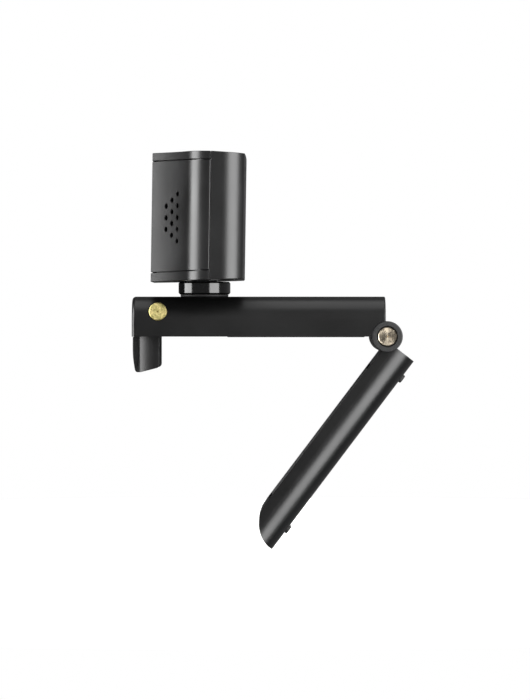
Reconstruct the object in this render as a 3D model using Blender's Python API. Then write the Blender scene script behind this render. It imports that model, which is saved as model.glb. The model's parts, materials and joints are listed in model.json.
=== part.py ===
"""Webcam on a folding clip stand, at its real size in metres, +Z up.

The lens looks along -Y and +X is the width. The origin is the middle of the
rubber rest pad under the arm, which sits on the top edge of a screen.
Bodies: arm (root), lip, leg, swivel (pan) and head (tilt).
"""
import math

import bmesh
import bpy
from mathutils import Matrix, Vector

MM = 0.001
GAP = 0.3 * MM              # clearance between touching pieces
ROUND_SIDES = 32            # sides of a visible round piece
SMALL_SIDES = 16            # sides of a hidden or tiny round piece

# Arm: an inverted U channel
ARM_WIDTH = 31.0 * MM
ARM_FRONT = -48.75 * MM
ARM_REAR = 26.65 * MM
ARM_RIM = 0.2 * MM
ARM_TOP = 12.1 * MM
ARM_CORNER = 7.4 * MM
ARM_SIDE_WALL = 2.6 * MM
ARM_CEILING = 1.6 * MM
ARM_INNER_CORNER = 2.5 * MM
CHANNEL_HALF = ARM_WIDTH / 2 - ARM_SIDE_WALL
CHANNEL_TOP = ARM_TOP - ARM_CEILING

# Rest pad and the plate that carries it
PAD_LENGTH = 41.0 * MM
PAD_THICKNESS = 1.1 * MM
PLATE_FRONT = -22.6 * MM
PLATE_REAR = 21.8 * MM
PLATE_BOTTOM = 1.4 * MM
PLATE_TOP = 3.2 * MM
PLATE_SCREW_Y = (-14.5 * MM, 16.0 * MM)

# Joint axes (hinges run along X, the pan axis along Z)
NECK_Y = -27.4 * MM
TILT_HEIGHT = 22.3 * MM
HEAD_LEAN = math.radians(-0.86)
LIP_AXIS = Vector((0.0, -41.0 * MM, 7.65 * MM))
LEG_AXIS = Vector((0.0, 27.1 * MM, 0.2 * MM))
LEG_OPEN = math.radians(52.95)

# Pins
LIP_PIN_HEAD = 2.64 * MM
LIP_PIN_SHAFT = 1.0 * MM
LIP_PIN_SEAT = 13.6 * MM
HINGE_PIN_HEAD = 2.83 * MM
HINGE_PIN_SHAFT = 1.6 * MM
KNUCKLE_RADIUS = 4.58 * MM
KNUCKLE_INNER = 11.0 * MM
KNUCKLE_OUTER = 15.8 * MM

# Lip
LIP_HALF = 12.6 * MM
LIP_BOTTOM = -10.4 * MM
LIP_TOP = 0.1 * MM
LIP_FRONT = ARM_FRONT + 0.2 * MM
LIP_THICKNESS = 2.4 * MM
CHEEK_INNER = 10.9 * MM
CHEEK_OUTER = 12.1 * MM
CHEEK_REAR = LIP_AXIS.y + 0.4 * MM
CHEEK_BOSS = 1.95 * MM

# Leg, drawn folded flat: it runs towards -Y with its outer side down
LEG_HALF = 10.5 * MM
LEG_TIP = -71.5 * MM
LEG_HEEL = -1.0 * MM
LEG_INNER = -1.18 * MM
LEG_OUTER = -11.18 * MM
LEG_CORNER = 7.4 * MM
LEG_WALL = 1.8 * MM
LEG_NOSE = 10.0 * MM
LEG_CAVITY_FRONT = -60.0 * MM
LEG_CAVITY_REAR = -9.5 * MM
LEG_KNUCKLE_HALF = 9.8 * MM
COVER_TOP = -2.4 * MM
COVER_BOTTOM = -4.2 * MM
LEG_SCREW_Y = (-55.0 * MM, -15.0 * MM)
FOOT_Y = (-64.0 * MM, -7.3 * MM)
FOOT_SIZE = (8.0 * MM, 2.6 * MM)
FOOT_PROUD = 0.7 * MM

# Neck, from the pan axis
NECK_RADIUS = 7.8 * MM
NECK_BOTTOM = 12.8 * MM
NECK_TOP = 16.6 * MM
TONGUE_HALF = 2.5 * MM
TONGUE_RADIUS = 4.0 * MM
TILT_PIN = 1.3 * MM

# Head, drawn upright from the tilt axis
HEAD_FRONT = -15.63 * MM
HEAD_BACK = 12.2 * MM
HEAD_HALF = 35.5 * MM
SNOUT_HALF = 15.0 * MM
HEAD_TOP = 32.1 * MM
HEAD_BOTTOM = -6.1 * MM
HEAD_BOTTOM_RISE = 1.25 * MM
HEAD_TOP_FALL = 0.5 * MM
SEAM = 2.0 * MM
TOP_BAND = 2.3 * MM
BOTTOM_BAND = 2.6 * MM
COVER_SKIN = 1.5 * MM
SHELL_WALL = 1.8 * MM
RIDGE_RADIUS = 7.6 * MM
RIDGE_START = 66.0          # degrees in front of the head's side
FLANK_START = 50.5          # degrees between the flank and +Y at the snout
FLANK_PULL = 6.0 * MM       # how far both ends of the flank run straight
LENS_Z = 12.8 * MM
BOARD_HALF = 22.5 * MM
MIC_PITCH = 3.44 * MM
MIC_HOLE = 0.72 * MM


# ---------------------------------------------------------------- helpers

def clear_scene():
    """Remove every object that a new file starts with."""
    for item in list(bpy.data.objects):
        bpy.data.objects.remove(item)


def material(name, colour, roughness, metallic=0.0):
    """A Principled material of one colour."""
    made = bpy.data.materials.new(name)
    made.use_nodes = True
    shader = made.node_tree.nodes["Principled BSDF"]
    shader.inputs["Base Color"].default_value = (*colour, 1.0)
    shader.inputs["Roughness"].default_value = roughness
    shader.inputs["Metallic"].default_value = metallic
    return made


def joint_empty(name, place, lean=0.0, parent=None):
    """An empty on a joint's axis, turned about X by lean."""
    empty = bpy.data.objects.new(name, None)
    bpy.context.collection.objects.link(empty)
    empty.location = place
    empty.rotation_euler = (lean, 0.0, 0.0)
    empty.parent = parent
    return empty


def add_mesh(name, points, faces):
    """An object made of points and faces, with its faces turned outwards."""
    mesh = bpy.data.meshes.new(name)
    mesh.from_pydata(points, [], faces)
    shape = bmesh.new()
    shape.from_mesh(mesh)
    if shape.calc_volume(signed=True) < 0.0:
        bmesh.ops.reverse_faces(shape, faces=shape.faces)
    shape.to_mesh(mesh)
    shape.free()
    made = bpy.data.objects.new(name, mesh)
    bpy.context.collection.objects.link(made)
    return made


def prism(name, outline, low, high, axis="Z"):
    """Extrude a closed outline along an axis.

    The outline holds (x, y) for Z, (x, z) for Y and (y, z) for X. Along Z,
    low and high may be functions of y, for a sloping end.
    """
    def end(limit, point):
        return limit(point[1]) if callable(limit) else limit

    def place(point, level):
        first, second = point
        if axis == "Z":
            return (first, second, level)
        if axis == "Y":
            return (first, level, second)
        return (level, first, second)

    count = len(outline)
    points = [place(point, end(low, point)) for point in outline]
    points += [place(point, end(high, point)) for point in outline]
    sides = []
    for index in range(count):
        after = (index + 1) % count
        sides.append((index, after, after + count, index + count))
    caps = [tuple(reversed(range(count))), tuple(range(count, 2 * count))]
    return add_mesh(name, points, sides + caps)


def arc(centre, radius, start, stop, steps):
    """Points on an arc between two angles in degrees, both ends included."""
    points = []
    for step in range(steps + 1):
        angle = math.radians(start + (stop - start) * step / steps)
        points.append((centre[0] + radius * math.cos(angle),
                       centre[1] + radius * math.sin(angle)))
    return points


def circle(centre, radius, sides):
    """Points of a full circle."""
    return arc(centre, radius, 0.0, 360.0 - 360.0 / sides, sides - 1)


def disc(name, centre, radius, low, high, axis="X", sides=SMALL_SIDES):
    """A cylinder along an axis; centre is in the other two coordinates."""
    return prism(name, circle(centre, radius, sides), low, high, axis)


def block(name, low, high):
    """A box between two corners."""
    outline = [(low[0], low[1]), (high[0], low[1]), (high[0], high[1]), (low[0], high[1])]
    return prism(name, outline, low[2], high[2])


def combine(target, tool, operation):
    """Apply a Boolean with a tool shape, then drop the tool."""
    modifier = target.modifiers.new(operation.lower(), "BOOLEAN")
    modifier.operation = operation
    modifier.object = tool
    modifier.solver = "EXACT"
    graph = bpy.context.evaluated_depsgraph_get()
    result = bpy.data.meshes.new_from_object(target.evaluated_get(graph))
    result.name = target.name
    target.modifiers.clear()
    target.data = result
    bpy.data.objects.remove(tool)


def cut(target, *tools):
    """Cut each tool shape out of the target."""
    for tool in tools:
        combine(target, tool, "DIFFERENCE")


def join(target, *tools):
    """Join each tool shape to the target."""
    for tool in tools:
        combine(target, tool, "UNION")


def finish(made, look, parent=None):
    """Give a piece its material, its parent and smooth round sides."""
    made.data.materials.clear()
    made.data.materials.append(look)
    made.data.shade_smooth()
    made.data.set_sharp_from_angle(angle=math.radians(35.0))
    made.parent = parent
    return made


def mirrored(points):
    """Close a half outline at +X with its mirror image at -X."""
    return points + [(-x, y) for x, y in reversed(points) if x > 0.01 * MM]


def inset(points, distance):
    """Move a counter-clockwise outline inwards by a distance."""
    count = len(points)
    moved = []
    for index in range(count):
        before = Vector(points[index - 1])
        here = Vector(points[index])
        after = Vector(points[(index + 1) % count])
        first = (here - before).normalized()
        second = (after - here).normalized()
        normal_one = Vector((-first.y, first.x))
        normal_two = Vector((-second.y, second.x))
        bisector = (normal_one + normal_two) / (1.0 + normal_one.dot(normal_two))
        moved.append(tuple(here + bisector * distance))
    return moved


def clip(points, limit, keep_front):
    """Keep the part of an outline in front of (below) or behind a y limit."""
    def inside(point):
        return point[1] <= limit if keep_front else point[1] >= limit

    kept = []
    for index, here in enumerate(points):
        before = points[index - 1]
        if inside(here) != inside(before):
            share = (limit - before[1]) / (here[1] - before[1])
            kept.append((before[0] + share * (here[0] - before[0]), limit))
        if inside(here):
            kept.append(here)
    return kept


# ---------------------------------------------------------------- screws

def screw(name, look, parent, place, direction, sizes, sides=SMALL_SIDES):
    """A pan-head screw with a cross slot, drawn head up and then turned.

    sizes are head radius, head height, shaft radius and shaft length. The
    head's under face is at place and the head points along direction.
    """
    head_radius, head_height, shaft_radius, shaft_length = sizes
    made = disc(name, (0.0, 0.0), head_radius, 0.0, head_height, "Z", sides)
    join(made, disc("shaft", (0.0, 0.0), shaft_radius, -shaft_length, head_height / 2, "Z", 12))
    slot_half = head_radius * 0.62
    slot_width = head_radius * 0.12
    slot_floor = head_height * 0.5
    cut(made,
        block("slot_x", (-slot_half, -slot_width, slot_floor), (slot_half, slot_width, 1.0)),
        block("slot_y", (-slot_width, -slot_half, slot_floor), (slot_width, slot_half, 1.0)))
    turn = Vector((0.0, 0.0, 1.0)).rotation_difference(Vector(direction)).to_matrix().to_4x4()
    made.data.transform(Matrix.Translation(Vector(place)) @ turn)
    return finish(made, look, parent)


# ---------------------------------------------------------------- arm

def arm_section(half, top, corner, bottom, steps=5):
    """Half an inverted U outline in (x, z), mirrored about the middle."""
    right = [(half, bottom)] + arc((half - corner, top - corner), corner, 0.0, 90.0, steps)
    return mirrored(right)


def build_arm(looks):
    """The arm's shell: a channel with hinge barrels and screw bosses."""
    half = ARM_WIDTH / 2
    shell = prism("arm_shell", arm_section(half, ARM_TOP, ARM_CORNER, ARM_RIM, 8),
                  ARM_FRONT, ARM_REAR, "Y")
    wall = 1.6 * MM
    cut(shell, prism("channel", arm_section(CHANNEL_HALF, CHANNEL_TOP, ARM_INNER_CORNER, -5.0 * MM),
                     ARM_FRONT + wall, ARM_REAR - wall, "Y"))
    boss_radius = 2.4 * MM
    boss_bottom = PLATE_TOP + GAP
    for screw_y in PLATE_SCREW_Y:
        join(shell, disc("boss", (0.0, screw_y), boss_radius, boss_bottom, ARM_TOP - 0.5 * MM, "Z"))
        cut(shell, disc("hole", (0.0, screw_y), 1.1 * MM, 0.0, 9.0 * MM, "Z", 12))
    hinge = (LEG_AXIS.y, LEG_AXIS.z)
    cut(shell, disc("knuckle_room", hinge, KNUCKLE_RADIUS + GAP, -KNUCKLE_INNER, KNUCKLE_INNER,
                    sides=ROUND_SIDES))
    for side in (-1, 1):
        low, high = sorted((side * KNUCKLE_INNER, side * KNUCKLE_OUTER))
        join(shell, disc("barrel", hinge, KNUCKLE_RADIUS, low, high, sides=ROUND_SIDES))
        seat = sorted((side * (KNUCKLE_OUTER - 1.6 * MM), side * 20.0 * MM))
        cut(shell, disc("pin_seat", hinge, HINGE_PIN_HEAD + 0.22 * MM, *seat, sides=ROUND_SIDES))
    cut(shell, disc("hinge_bore", hinge, HINGE_PIN_SHAFT + GAP, -20.0 * MM, 20.0 * MM))
    pin = (LIP_AXIS.y, LIP_AXIS.z)
    for side in (-1, 1):
        seat = sorted((side * LIP_PIN_SEAT, side * 20.0 * MM))
        cut(shell, disc("lip_seat", pin, LIP_PIN_HEAD + 0.22 * MM, *seat, sides=ROUND_SIDES))
    cut(shell, disc("lip_bore", pin, LIP_PIN_SHAFT + GAP, -20.0 * MM, 20.0 * MM))
    cut(shell, disc("swivel_bore", (0.0, NECK_Y), 2.5 * MM, 9.0 * MM, 14.0 * MM, "Z"))
    finish(shell, looks["satin_black"])


def build_arm_underside(looks):
    """The bottom plate, its two screws and the rubber rest pad."""
    half = CHANNEL_HALF - GAP
    plate = block("arm_bottom_plate", (-half, PLATE_FRONT, PLATE_BOTTOM), (half, PLATE_REAR, PLATE_TOP))
    counterbore = 1.0 * MM
    for screw_y in PLATE_SCREW_Y:
        cut(plate, disc("hole", (0.0, screw_y), 1.1 * MM, 0.0, 5.0 * MM, "Z", 12),
            disc("head_room", (0.0, screw_y), 1.9 * MM, 0.0, PLATE_BOTTOM + counterbore, "Z"))
    finish(plate, looks["satin_black"])
    for name, screw_y in zip(("plate_screw_front", "plate_screw_rear"), PLATE_SCREW_Y):
        screw(name, looks["steel"], None, (0.0, screw_y, PLATE_BOTTOM + counterbore - 0.05 * MM),
              (0.0, 0.0, -1.0), (1.6 * MM, 0.9 * MM, 0.8 * MM, 5.5 * MM))
    pad_half = half - 1.0 * MM
    pad = block("rest_pad", (-pad_half, -PAD_LENGTH / 2, 0.0), (pad_half, PAD_LENGTH / 2, PAD_THICKNESS))
    finish(pad, looks["rubber"])


def headed_pin(name, nut_name, look, axis, shaft, head, seat, face):
    """A pin across the arm: a headed shaft and the round nut on its far end."""
    centre = (axis.y, axis.z)
    nut_clear = 0.1 * MM
    made = disc(name, centre, shaft, -seat + nut_clear, seat + nut_clear)
    join(made, disc("head", centre, head, seat + nut_clear, face, sides=ROUND_SIDES))
    dimple = 0.25 * MM
    cut(made, disc("dimple", centre, dimple, face - dimple, face + dimple, sides=12))
    finish(made, look)
    nut = disc(nut_name, centre, head, -face, -seat - nut_clear, sides=ROUND_SIDES)
    cut(nut, disc("dimple", centre, dimple, -face - dimple, -face + dimple, sides=12))
    finish(nut, look)


def build_hinge_hardware(looks):
    """Both hinge pins with their nuts, and the friction washers of the leg."""
    headed_pin("lip_pin", "lip_pin_nut", looks["brass"], LIP_AXIS, LIP_PIN_SHAFT, LIP_PIN_HEAD,
               LIP_PIN_SEAT, ARM_WIDTH / 2 + 0.1 * MM)
    headed_pin("rear_hinge_pin", "rear_hinge_nut", looks["bronze"], LEG_AXIS, HINGE_PIN_SHAFT,
               HINGE_PIN_HEAD, KNUCKLE_OUTER - 1.6 * MM, KNUCKLE_OUTER + 0.1 * MM)
    centre = (LEG_AXIS.y, LEG_AXIS.z)
    play = 0.3 * MM
    for name, side in (("hinge_washer_left", -1), ("hinge_washer_right", 1)):
        low, high = sorted((side * (LEG_KNUCKLE_HALF + play), side * (KNUCKLE_INNER - play)))
        washer = disc(name, centre, 3.6 * MM, low, high)
        cut(washer, disc("bore", centre, HINGE_PIN_SHAFT + GAP, -20.0 * MM, 20.0 * MM))
        finish(washer, looks["steel"])


# ---------------------------------------------------------------- lip

def build_lip(looks, axis_empty):
    """The front hook: a plate with two cheeks that turn on the brass pin."""
    rear = LIP_FRONT + LIP_THICKNESS
    front_edge = [(LIP_FRONT + 1.4 * MM, LIP_BOTTOM), (LIP_FRONT + 0.65 * MM, LIP_BOTTOM + 0.7 * MM),
                  (LIP_FRONT + 0.3 * MM, -7.5 * MM), (LIP_FRONT, -4.0 * MM), (LIP_FRONT, LIP_TOP)]
    outline = [(rear, LIP_BOTTOM)] + front_edge + [(rear, LIP_TOP)]
    plate = prism("lip_plate", outline, -LIP_HALF, LIP_HALF, "X")
    corner = 1.2 * MM
    cheek_low = -9.25 * MM
    cheek_front = rear - GAP
    boss = arc((LIP_AXIS.y, LIP_AXIS.z), CHEEK_BOSS, 0.0, 360.0 - 22.5, 15)
    for side in (-1, 1):
        low, high = sorted((side * CHEEK_INNER, side * CHEEK_OUTER))
        side_outline = [(cheek_front, LIP_BOTTOM + 0.3 * MM)]
        side_outline += arc((CHEEK_REAR - corner, cheek_low + corner), corner, -80.0, 0.0, 3)
        side_outline += [(CHEEK_REAR, LIP_AXIS.z), (cheek_front, LIP_AXIS.z)]
        join(plate, prism("cheek", side_outline, low, high, "X"))
        low, high = sorted((side * CHEEK_INNER, side * (CHEEK_OUTER - 0.2 * MM)))
        join(plate, prism("boss", boss, low, high, "X"))
        flare_depth = 4.0 * MM
        flare = [(side * CHEEK_INNER, cheek_front), (side * LIP_HALF, cheek_front),
                 (side * (CHEEK_OUTER + 0.15 * MM), cheek_front + 0.45 * flare_depth),
                 (side * CHEEK_OUTER, cheek_front + flare_depth),
                 (side * CHEEK_INNER, cheek_front + flare_depth)]
        join(plate, prism("flare", flare, LIP_BOTTOM + 0.9 * MM, LIP_TOP, "Z"))
    cut(plate, disc("bore", (LIP_AXIS.y, LIP_AXIS.z), LIP_PIN_SHAFT + 0.1 * MM, -20.0 * MM, 20.0 * MM,
                    sides=SMALL_SIDES))
    pad_half = CHEEK_INNER - 0.6 * MM
    pad_front = rear + GAP
    pad = block("lip_pad", (-pad_half, pad_front, LIP_BOTTOM + 1.0 * MM),
                (pad_half, pad_front + 0.8 * MM, LIP_TOP - 0.9 * MM))
    for made, look in ((plate, looks["satin_black"]), (pad, looks["rubber"])):
        made.data.transform(Matrix.Translation(-LIP_AXIS))
        finish(made, look, axis_empty)


# ---------------------------------------------------------------- leg

def leg_section(half, corner, outer, inner, steps=6):
    """The leg's section in (x, z): its two outer edges are rounded."""
    right = [(half, inner)] + arc((half - corner, outer + corner), corner, 0.0, -90.0, steps)
    return mirrored(right)


def build_leg(looks, axis_empty):
    """The folding leg: a hollow shell, its inner cover, pad, feet and screws."""
    shell = prism("leg_shell", leg_section(LEG_HALF, LEG_CORNER, LEG_OUTER, 5.0 * MM, 8),
                  LEG_TIP, LEG_HEEL, "Y")
    side = [(LEG_HEEL, LEG_OUTER - MM), (LEG_HEEL, LEG_INNER)]
    nose_centre = (LEG_TIP + LEG_NOSE, LEG_INNER - LEG_NOSE)
    side += arc(nose_centre, LEG_NOSE, 90.0, 180.0, 10)
    side += [(LEG_TIP, LEG_OUTER - MM)]
    combine(shell, prism("side_shape", side, -20.0 * MM, 20.0 * MM, "X"), "INTERSECT")
    half = LEG_HALF - LEG_WALL
    cut(shell, prism("cavity", leg_section(half, 5.5 * MM, LEG_OUTER + LEG_WALL, 5.0 * MM),
                     LEG_CAVITY_FRONT, LEG_CAVITY_REAR, "Y"))
    boss_top = COVER_BOTTOM - GAP
    for screw_y in LEG_SCREW_Y:
        join(shell, disc("boss", (0.0, screw_y), 2.2 * MM, LEG_OUTER + 0.9 * MM, boss_top, "Z"))
        cut(shell, disc("hole", (0.0, screw_y), 1.1 * MM, LEG_OUTER + 1.6 * MM, 0.0, "Z", 12))
    join(shell, disc("knuckle", (0.0, 0.0), KNUCKLE_RADIUS, -LEG_KNUCKLE_HALF, LEG_KNUCKLE_HALF,
                     sides=ROUND_SIDES))
    for edge in (-1, 1):
        low, high = sorted((edge * LEG_KNUCKLE_HALF, edge * 12.0 * MM))
        cut(shell, disc("washer_room", (0.0, 0.0), KNUCKLE_RADIUS, low, high, sides=ROUND_SIDES))
    cut(shell, disc("bore", (0.0, 0.0), HINGE_PIN_SHAFT + GAP, -20.0 * MM, 20.0 * MM))
    foot_depth = 0.5 * MM
    for foot_y in FOOT_Y:
        cut(shell, foot_solid("foot_seat", foot_y, GAP, LEG_OUTER - MM, LEG_OUTER + foot_depth))
    finish(shell, looks["satin_black"], axis_empty)
    for name, foot_y in zip(("foot_lower", "foot_upper"), FOOT_Y):
        foot = foot_solid(name, foot_y, 0.0, LEG_OUTER - FOOT_PROUD, LEG_OUTER + foot_depth - 0.1 * MM)
        finish(foot, looks["rubber"], axis_empty)
    build_leg_inside(looks, axis_empty, half - GAP)


def foot_solid(name, centre_y, grow, low, high):
    """An oblong foot with round ends across the leg."""
    radius = FOOT_SIZE[1] / 2
    reach = FOOT_SIZE[0] / 2 - radius
    outline = arc((reach, centre_y), radius + grow, -90.0, 90.0, 6)
    outline += arc((-reach, centre_y), radius + grow, 90.0, 270.0, 6)
    return prism(name, outline, low, high)


def build_leg_inside(looks, axis_empty, half):
    """The leg's inner cover, its screws and the grip pad over them."""
    cover = block("leg_inner_cover", (-half, LEG_CAVITY_FRONT + GAP, COVER_BOTTOM),
                  (half, LEG_CAVITY_REAR - GAP, COVER_TOP))
    counterbore = 1.0 * MM
    for screw_y in LEG_SCREW_Y:
        cut(cover, disc("hole", (0.0, screw_y), 1.1 * MM, -8.0 * MM, 0.0, "Z", 12),
            disc("head_room", (0.0, screw_y), 1.9 * MM, COVER_TOP - counterbore, 0.0, "Z"))
    finish(cover, looks["satin_black"], axis_empty)
    for name, screw_y in zip(("leg_screw_lower", "leg_screw_upper"), LEG_SCREW_Y):
        screw(name, looks["steel"], axis_empty, (0.0, screw_y, COVER_TOP - counterbore + 0.05 * MM),
              (0.0, 0.0, 1.0), (1.6 * MM, 0.9 * MM, 0.8 * MM, 4.8 * MM))
    pad = block("leg_grip_pad", (-half + 0.4 * MM, LEG_CAVITY_FRONT + 1.5 * MM, COVER_TOP + GAP),
                (half - 0.4 * MM, LEG_CAVITY_REAR - 1.5 * MM, LEG_INNER))
    finish(pad, looks["rubber"], axis_empty)


# ---------------------------------------------------------------- neck

def build_neck(looks, pan_empty):
    """The neck post with its tilt tongue, and the screw that holds it."""
    post = disc("neck_post", (0.0, 0.0), NECK_RADIUS, NECK_BOTTOM, NECK_TOP, "Z", ROUND_SIDES)
    tongue = [(-TONGUE_RADIUS, NECK_TOP - MM), (TONGUE_RADIUS, NECK_TOP - MM)]
    tongue += arc((0.0, TILT_HEIGHT), TONGUE_RADIUS, 0.0, 180.0, 10)
    join(post, prism("tongue", tongue, -TONGUE_HALF, TONGUE_HALF, "X"))
    cut(post, disc("tilt_bore", (0.0, TILT_HEIGHT), TILT_PIN + GAP, -5.0 * MM, 5.0 * MM),
        disc("screw_bore", (0.0, 0.0), 2.3 * MM, 10.0 * MM, 16.0 * MM, "Z"))
    finish(post, looks["gloss_black"], pan_empty)
    washer = disc("neck_washer", (0.0, 0.0), NECK_RADIUS - 0.5 * MM, ARM_TOP + 0.15 * MM,
                  NECK_BOTTOM - 0.15 * MM, "Z", ROUND_SIDES)
    cut(washer, disc("bore", (0.0, 0.0), 2.5 * MM, 10.0 * MM, 14.0 * MM, "Z"))
    finish(washer, looks["nylon"], pan_empty)
    spring = disc("spring_washer", (0.0, 0.0), 4.2 * MM, CHANNEL_TOP - 0.5 * MM,
                  CHANNEL_TOP - 0.15 * MM, "Z")
    cut(spring, disc("bore", (0.0, 0.0), 2.4 * MM, 8.0 * MM, 12.0 * MM, "Z"))
    finish(spring, looks["steel"], pan_empty)
    screw("swivel_screw", looks["steel"], pan_empty, (0.0, 0.0, CHANNEL_TOP - 0.65 * MM),
          (0.0, 0.0, -1.0), (3.6 * MM, 1.6 * MM, 2.0 * MM, 5.9 * MM))


# ---------------------------------------------------------------- head

def bezier(first, handle_one, handle_two, last, steps):
    """Points on a cubic curve, without its first point."""
    points = []
    for step in range(1, steps + 1):
        t = step / steps
        weights = ((1 - t) ** 3, 3 * t * (1 - t) ** 2, 3 * t * t * (1 - t), t ** 3)
        corners = (first, handle_one, handle_two, last)
        points.append(tuple(sum(w * c[axis] for w, c in zip(weights, corners)) for axis in (0, 1)))
    return points


def head_outline():
    """The head from above, counter-clockwise from the snout's middle.

    A flat snout, hollow flanks that sweep out to a round ridge, straight
    sides, round rear corners and a back that bows a little.
    """
    steepest = math.radians(RIDGE_START)
    ridge_centre = (HEAD_HALF - RIDGE_RADIUS, SEAM + 0.1 * MM)
    flank_end = (ridge_centre[0] + RIDGE_RADIUS * math.cos(steepest),
                 ridge_centre[1] - RIDGE_RADIUS * math.sin(steepest))
    flank_start = (SNOUT_HALF, HEAD_FRONT)
    leave = math.radians(FLANK_START)
    handle_one = (flank_start[0] + FLANK_PULL * math.sin(leave),
                  flank_start[1] + FLANK_PULL * math.cos(leave))
    handle_two = (flank_end[0] - FLANK_PULL * math.sin(steepest),
                  flank_end[1] - FLANK_PULL * math.cos(steepest))
    right = [flank_start]
    right += bezier(flank_start, handle_one, handle_two, flank_end, 8)
    right += arc(ridge_centre, RIDGE_RADIUS, 12.0 - RIDGE_START, 0.0, 6)
    wide_radius = 8.0 * MM
    tight_radius = 2.9 * MM
    wide_centre = (HEAD_HALF - wide_radius, 5.4 * MM)
    right += arc(wide_centre, wide_radius, 0.0, 45.0, 4)
    shift = (wide_radius - tight_radius) * math.sqrt(0.5)
    tight_centre = (wide_centre[0] + shift, wide_centre[1] + shift)
    right += arc(tight_centre, tight_radius, 60.0, 88.0, 2)
    right += [(0.5 * HEAD_HALF, HEAD_BACK - 0.09 * MM), (0.0, HEAD_BACK)]
    return mirrored(right)


def head_floor(y):
    """The head's underside rises a little from front to back."""
    return HEAD_BOTTOM + HEAD_BOTTOM_RISE * (y - HEAD_FRONT) / (HEAD_BACK - HEAD_FRONT)


def head_ceiling(y):
    """The head's top falls a little behind the seam."""
    return HEAD_TOP - HEAD_TOP_FALL * max(0.0, y - SEAM) / (HEAD_BACK - SEAM)


def above_floor(height):
    """A level at a height above the sloping underside."""
    return lambda y: head_floor(y) + height


def neck_opening():
    """The oblong opening in the underside that lets the head tilt."""
    half = NECK_RADIUS + 1.1 * MM
    front = -9.7 * MM
    back = 10.1 * MM
    outline = [(-half, front + 5.0 * MM), (-half + 4.0 * MM, front), (half - 4.0 * MM, front),
               (half, front + 5.0 * MM), (half, back - 5.0 * MM), (half - 4.0 * MM, back),
               (-half + 4.0 * MM, back), (-half, back - 5.0 * MM)]
    return prism("neck_opening", outline, -12.0 * MM, -1.0 * MM)


SHELL_SCREWS = {"shell_screw_lower_left": (-27.5 * MM, 0.5 * MM),
                "shell_screw_lower_right": (27.5 * MM, 0.5 * MM),
                "shell_screw_upper_left": (-27.5 * MM, 25.5 * MM),
                "shell_screw_upper_right": (27.5 * MM, 25.5 * MM)}
BOARD_SCREWS = {"board_screw_left": (-19.0 * MM, 24.0 * MM),
                "board_screw_right": (19.0 * MM, 24.0 * MM)}
BRACKET_SCREWS = {"bracket_screw_left": (-13.0 * MM, -2.8 * MM),
                  "bracket_screw_right": (13.0 * MM, -2.8 * MM)}
BRACKET_LOW = 4.3 * MM
BRACKET_TOP = 5.4 * MM
STATUS_LIGHT_X = 13.4 * MM
MIC_X = 20.2 * MM
MESH_HALF_HEIGHT = 9.2 * MM


def build_front_frame(looks, parent):
    """The frame: a top and a bottom band on a set-back inner wall."""
    whole = head_outline()
    front_limit = SEAM - GAP / 2
    core_depth = COVER_SKIN + GAP
    caps = clip(whole, front_limit, True)
    core = clip(inset(whole, core_depth), front_limit - 0.25 * MM, True)
    hollow = clip(inset(whole, core_depth + 1.4 * MM), SEAM + MM, True)
    frame = prism("head_front_frame", core, above_floor(MM), HEAD_TOP - MM)
    join(frame, prism("top_band", caps, HEAD_TOP - TOP_BAND, HEAD_TOP),
         prism("bottom_band", caps, head_floor, above_floor(BOTTOM_BAND)))
    cut(frame, prism("hollow", hollow, above_floor(BOTTOM_BAND), HEAD_TOP - TOP_BAND))
    for x, z in SHELL_SCREWS.values():
        join(frame, disc("boss", (x, z), 2.6 * MM, -3.0 * MM, SEAM - 0.4 * MM, "Y"))
        cut(frame, disc("hole", (x, z), 1.2 * MM, -1.3 * MM, 9.0 * MM, "Y", 12))
    for x, z in BOARD_SCREWS.values():
        join(frame, disc("boss", (x, z), 2.0 * MM, -8.4 * MM, -0.9 * MM, "Y"))
        cut(frame, disc("hole", (x, z), 1.1 * MM, -5.0 * MM, 9.0 * MM, "Y", 12))
    for x, y in BRACKET_SCREWS.values():
        join(frame, disc("post", (x, y), 2.3 * MM, -4.2 * MM, BRACKET_LOW - GAP, "Z"))
        cut(frame, disc("hole", (x, y), 1.1 * MM, -1.5 * MM, 9.0 * MM, "Z", 12))
    for side in (-1, 1):
        cut(frame, disc("sound_hole", (side * MIC_X, LENS_Z), 1.4 * MM, -14.0 * MM, -2.0 * MM, "Y"))
    for side in (-1, 1):
        cut(frame, mesh_solid("pocket", side, core_depth - 0.5 * MM, core_depth + 0.6 * MM, GAP))
    cut(frame, neck_opening(),
        disc("lens_opening", (0.0, LENS_Z), 9.5 * MM, -20.0 * MM, -9.5 * MM, "Y", ROUND_SIDES),
        disc("light_hole", (STATUS_LIGHT_X, LENS_Z), 1.1 * MM, -20.0 * MM, -9.5 * MM, "Y", 12))
    finish(frame, looks["satin_black"], parent)


def stretched(points, distance):
    """Lengthen an open line of points by a distance at both ends."""
    first = Vector(points[0])
    last = Vector(points[-1])
    first += (first - Vector(points[1])).normalized() * distance
    last += (last - Vector(points[-2])).normalized() * distance
    return [tuple(first)] + points[1:-1] + [tuple(last)]


def mesh_solid(name, side, outer_depth, inner_depth, grow):
    """A strip that follows the flank behind the microphone holes."""
    low_y = -13.0 * MM
    high_y = -5.8 * MM
    whole = head_outline()
    picked = [index for index, (x, y) in enumerate(whole) if x > 0.0 and low_y < y < high_y]
    outer = inset(whole, outer_depth)
    inner = inset(whole, inner_depth)
    outline = stretched([outer[index] for index in picked], grow)
    outline += reversed(stretched([inner[index] for index in picked], grow))
    outline = [(side * x, y) for x, y in outline]
    half = MESH_HALF_HEIGHT + grow
    return prism(name, outline, LENS_Z - half, LENS_Z + half)


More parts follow.
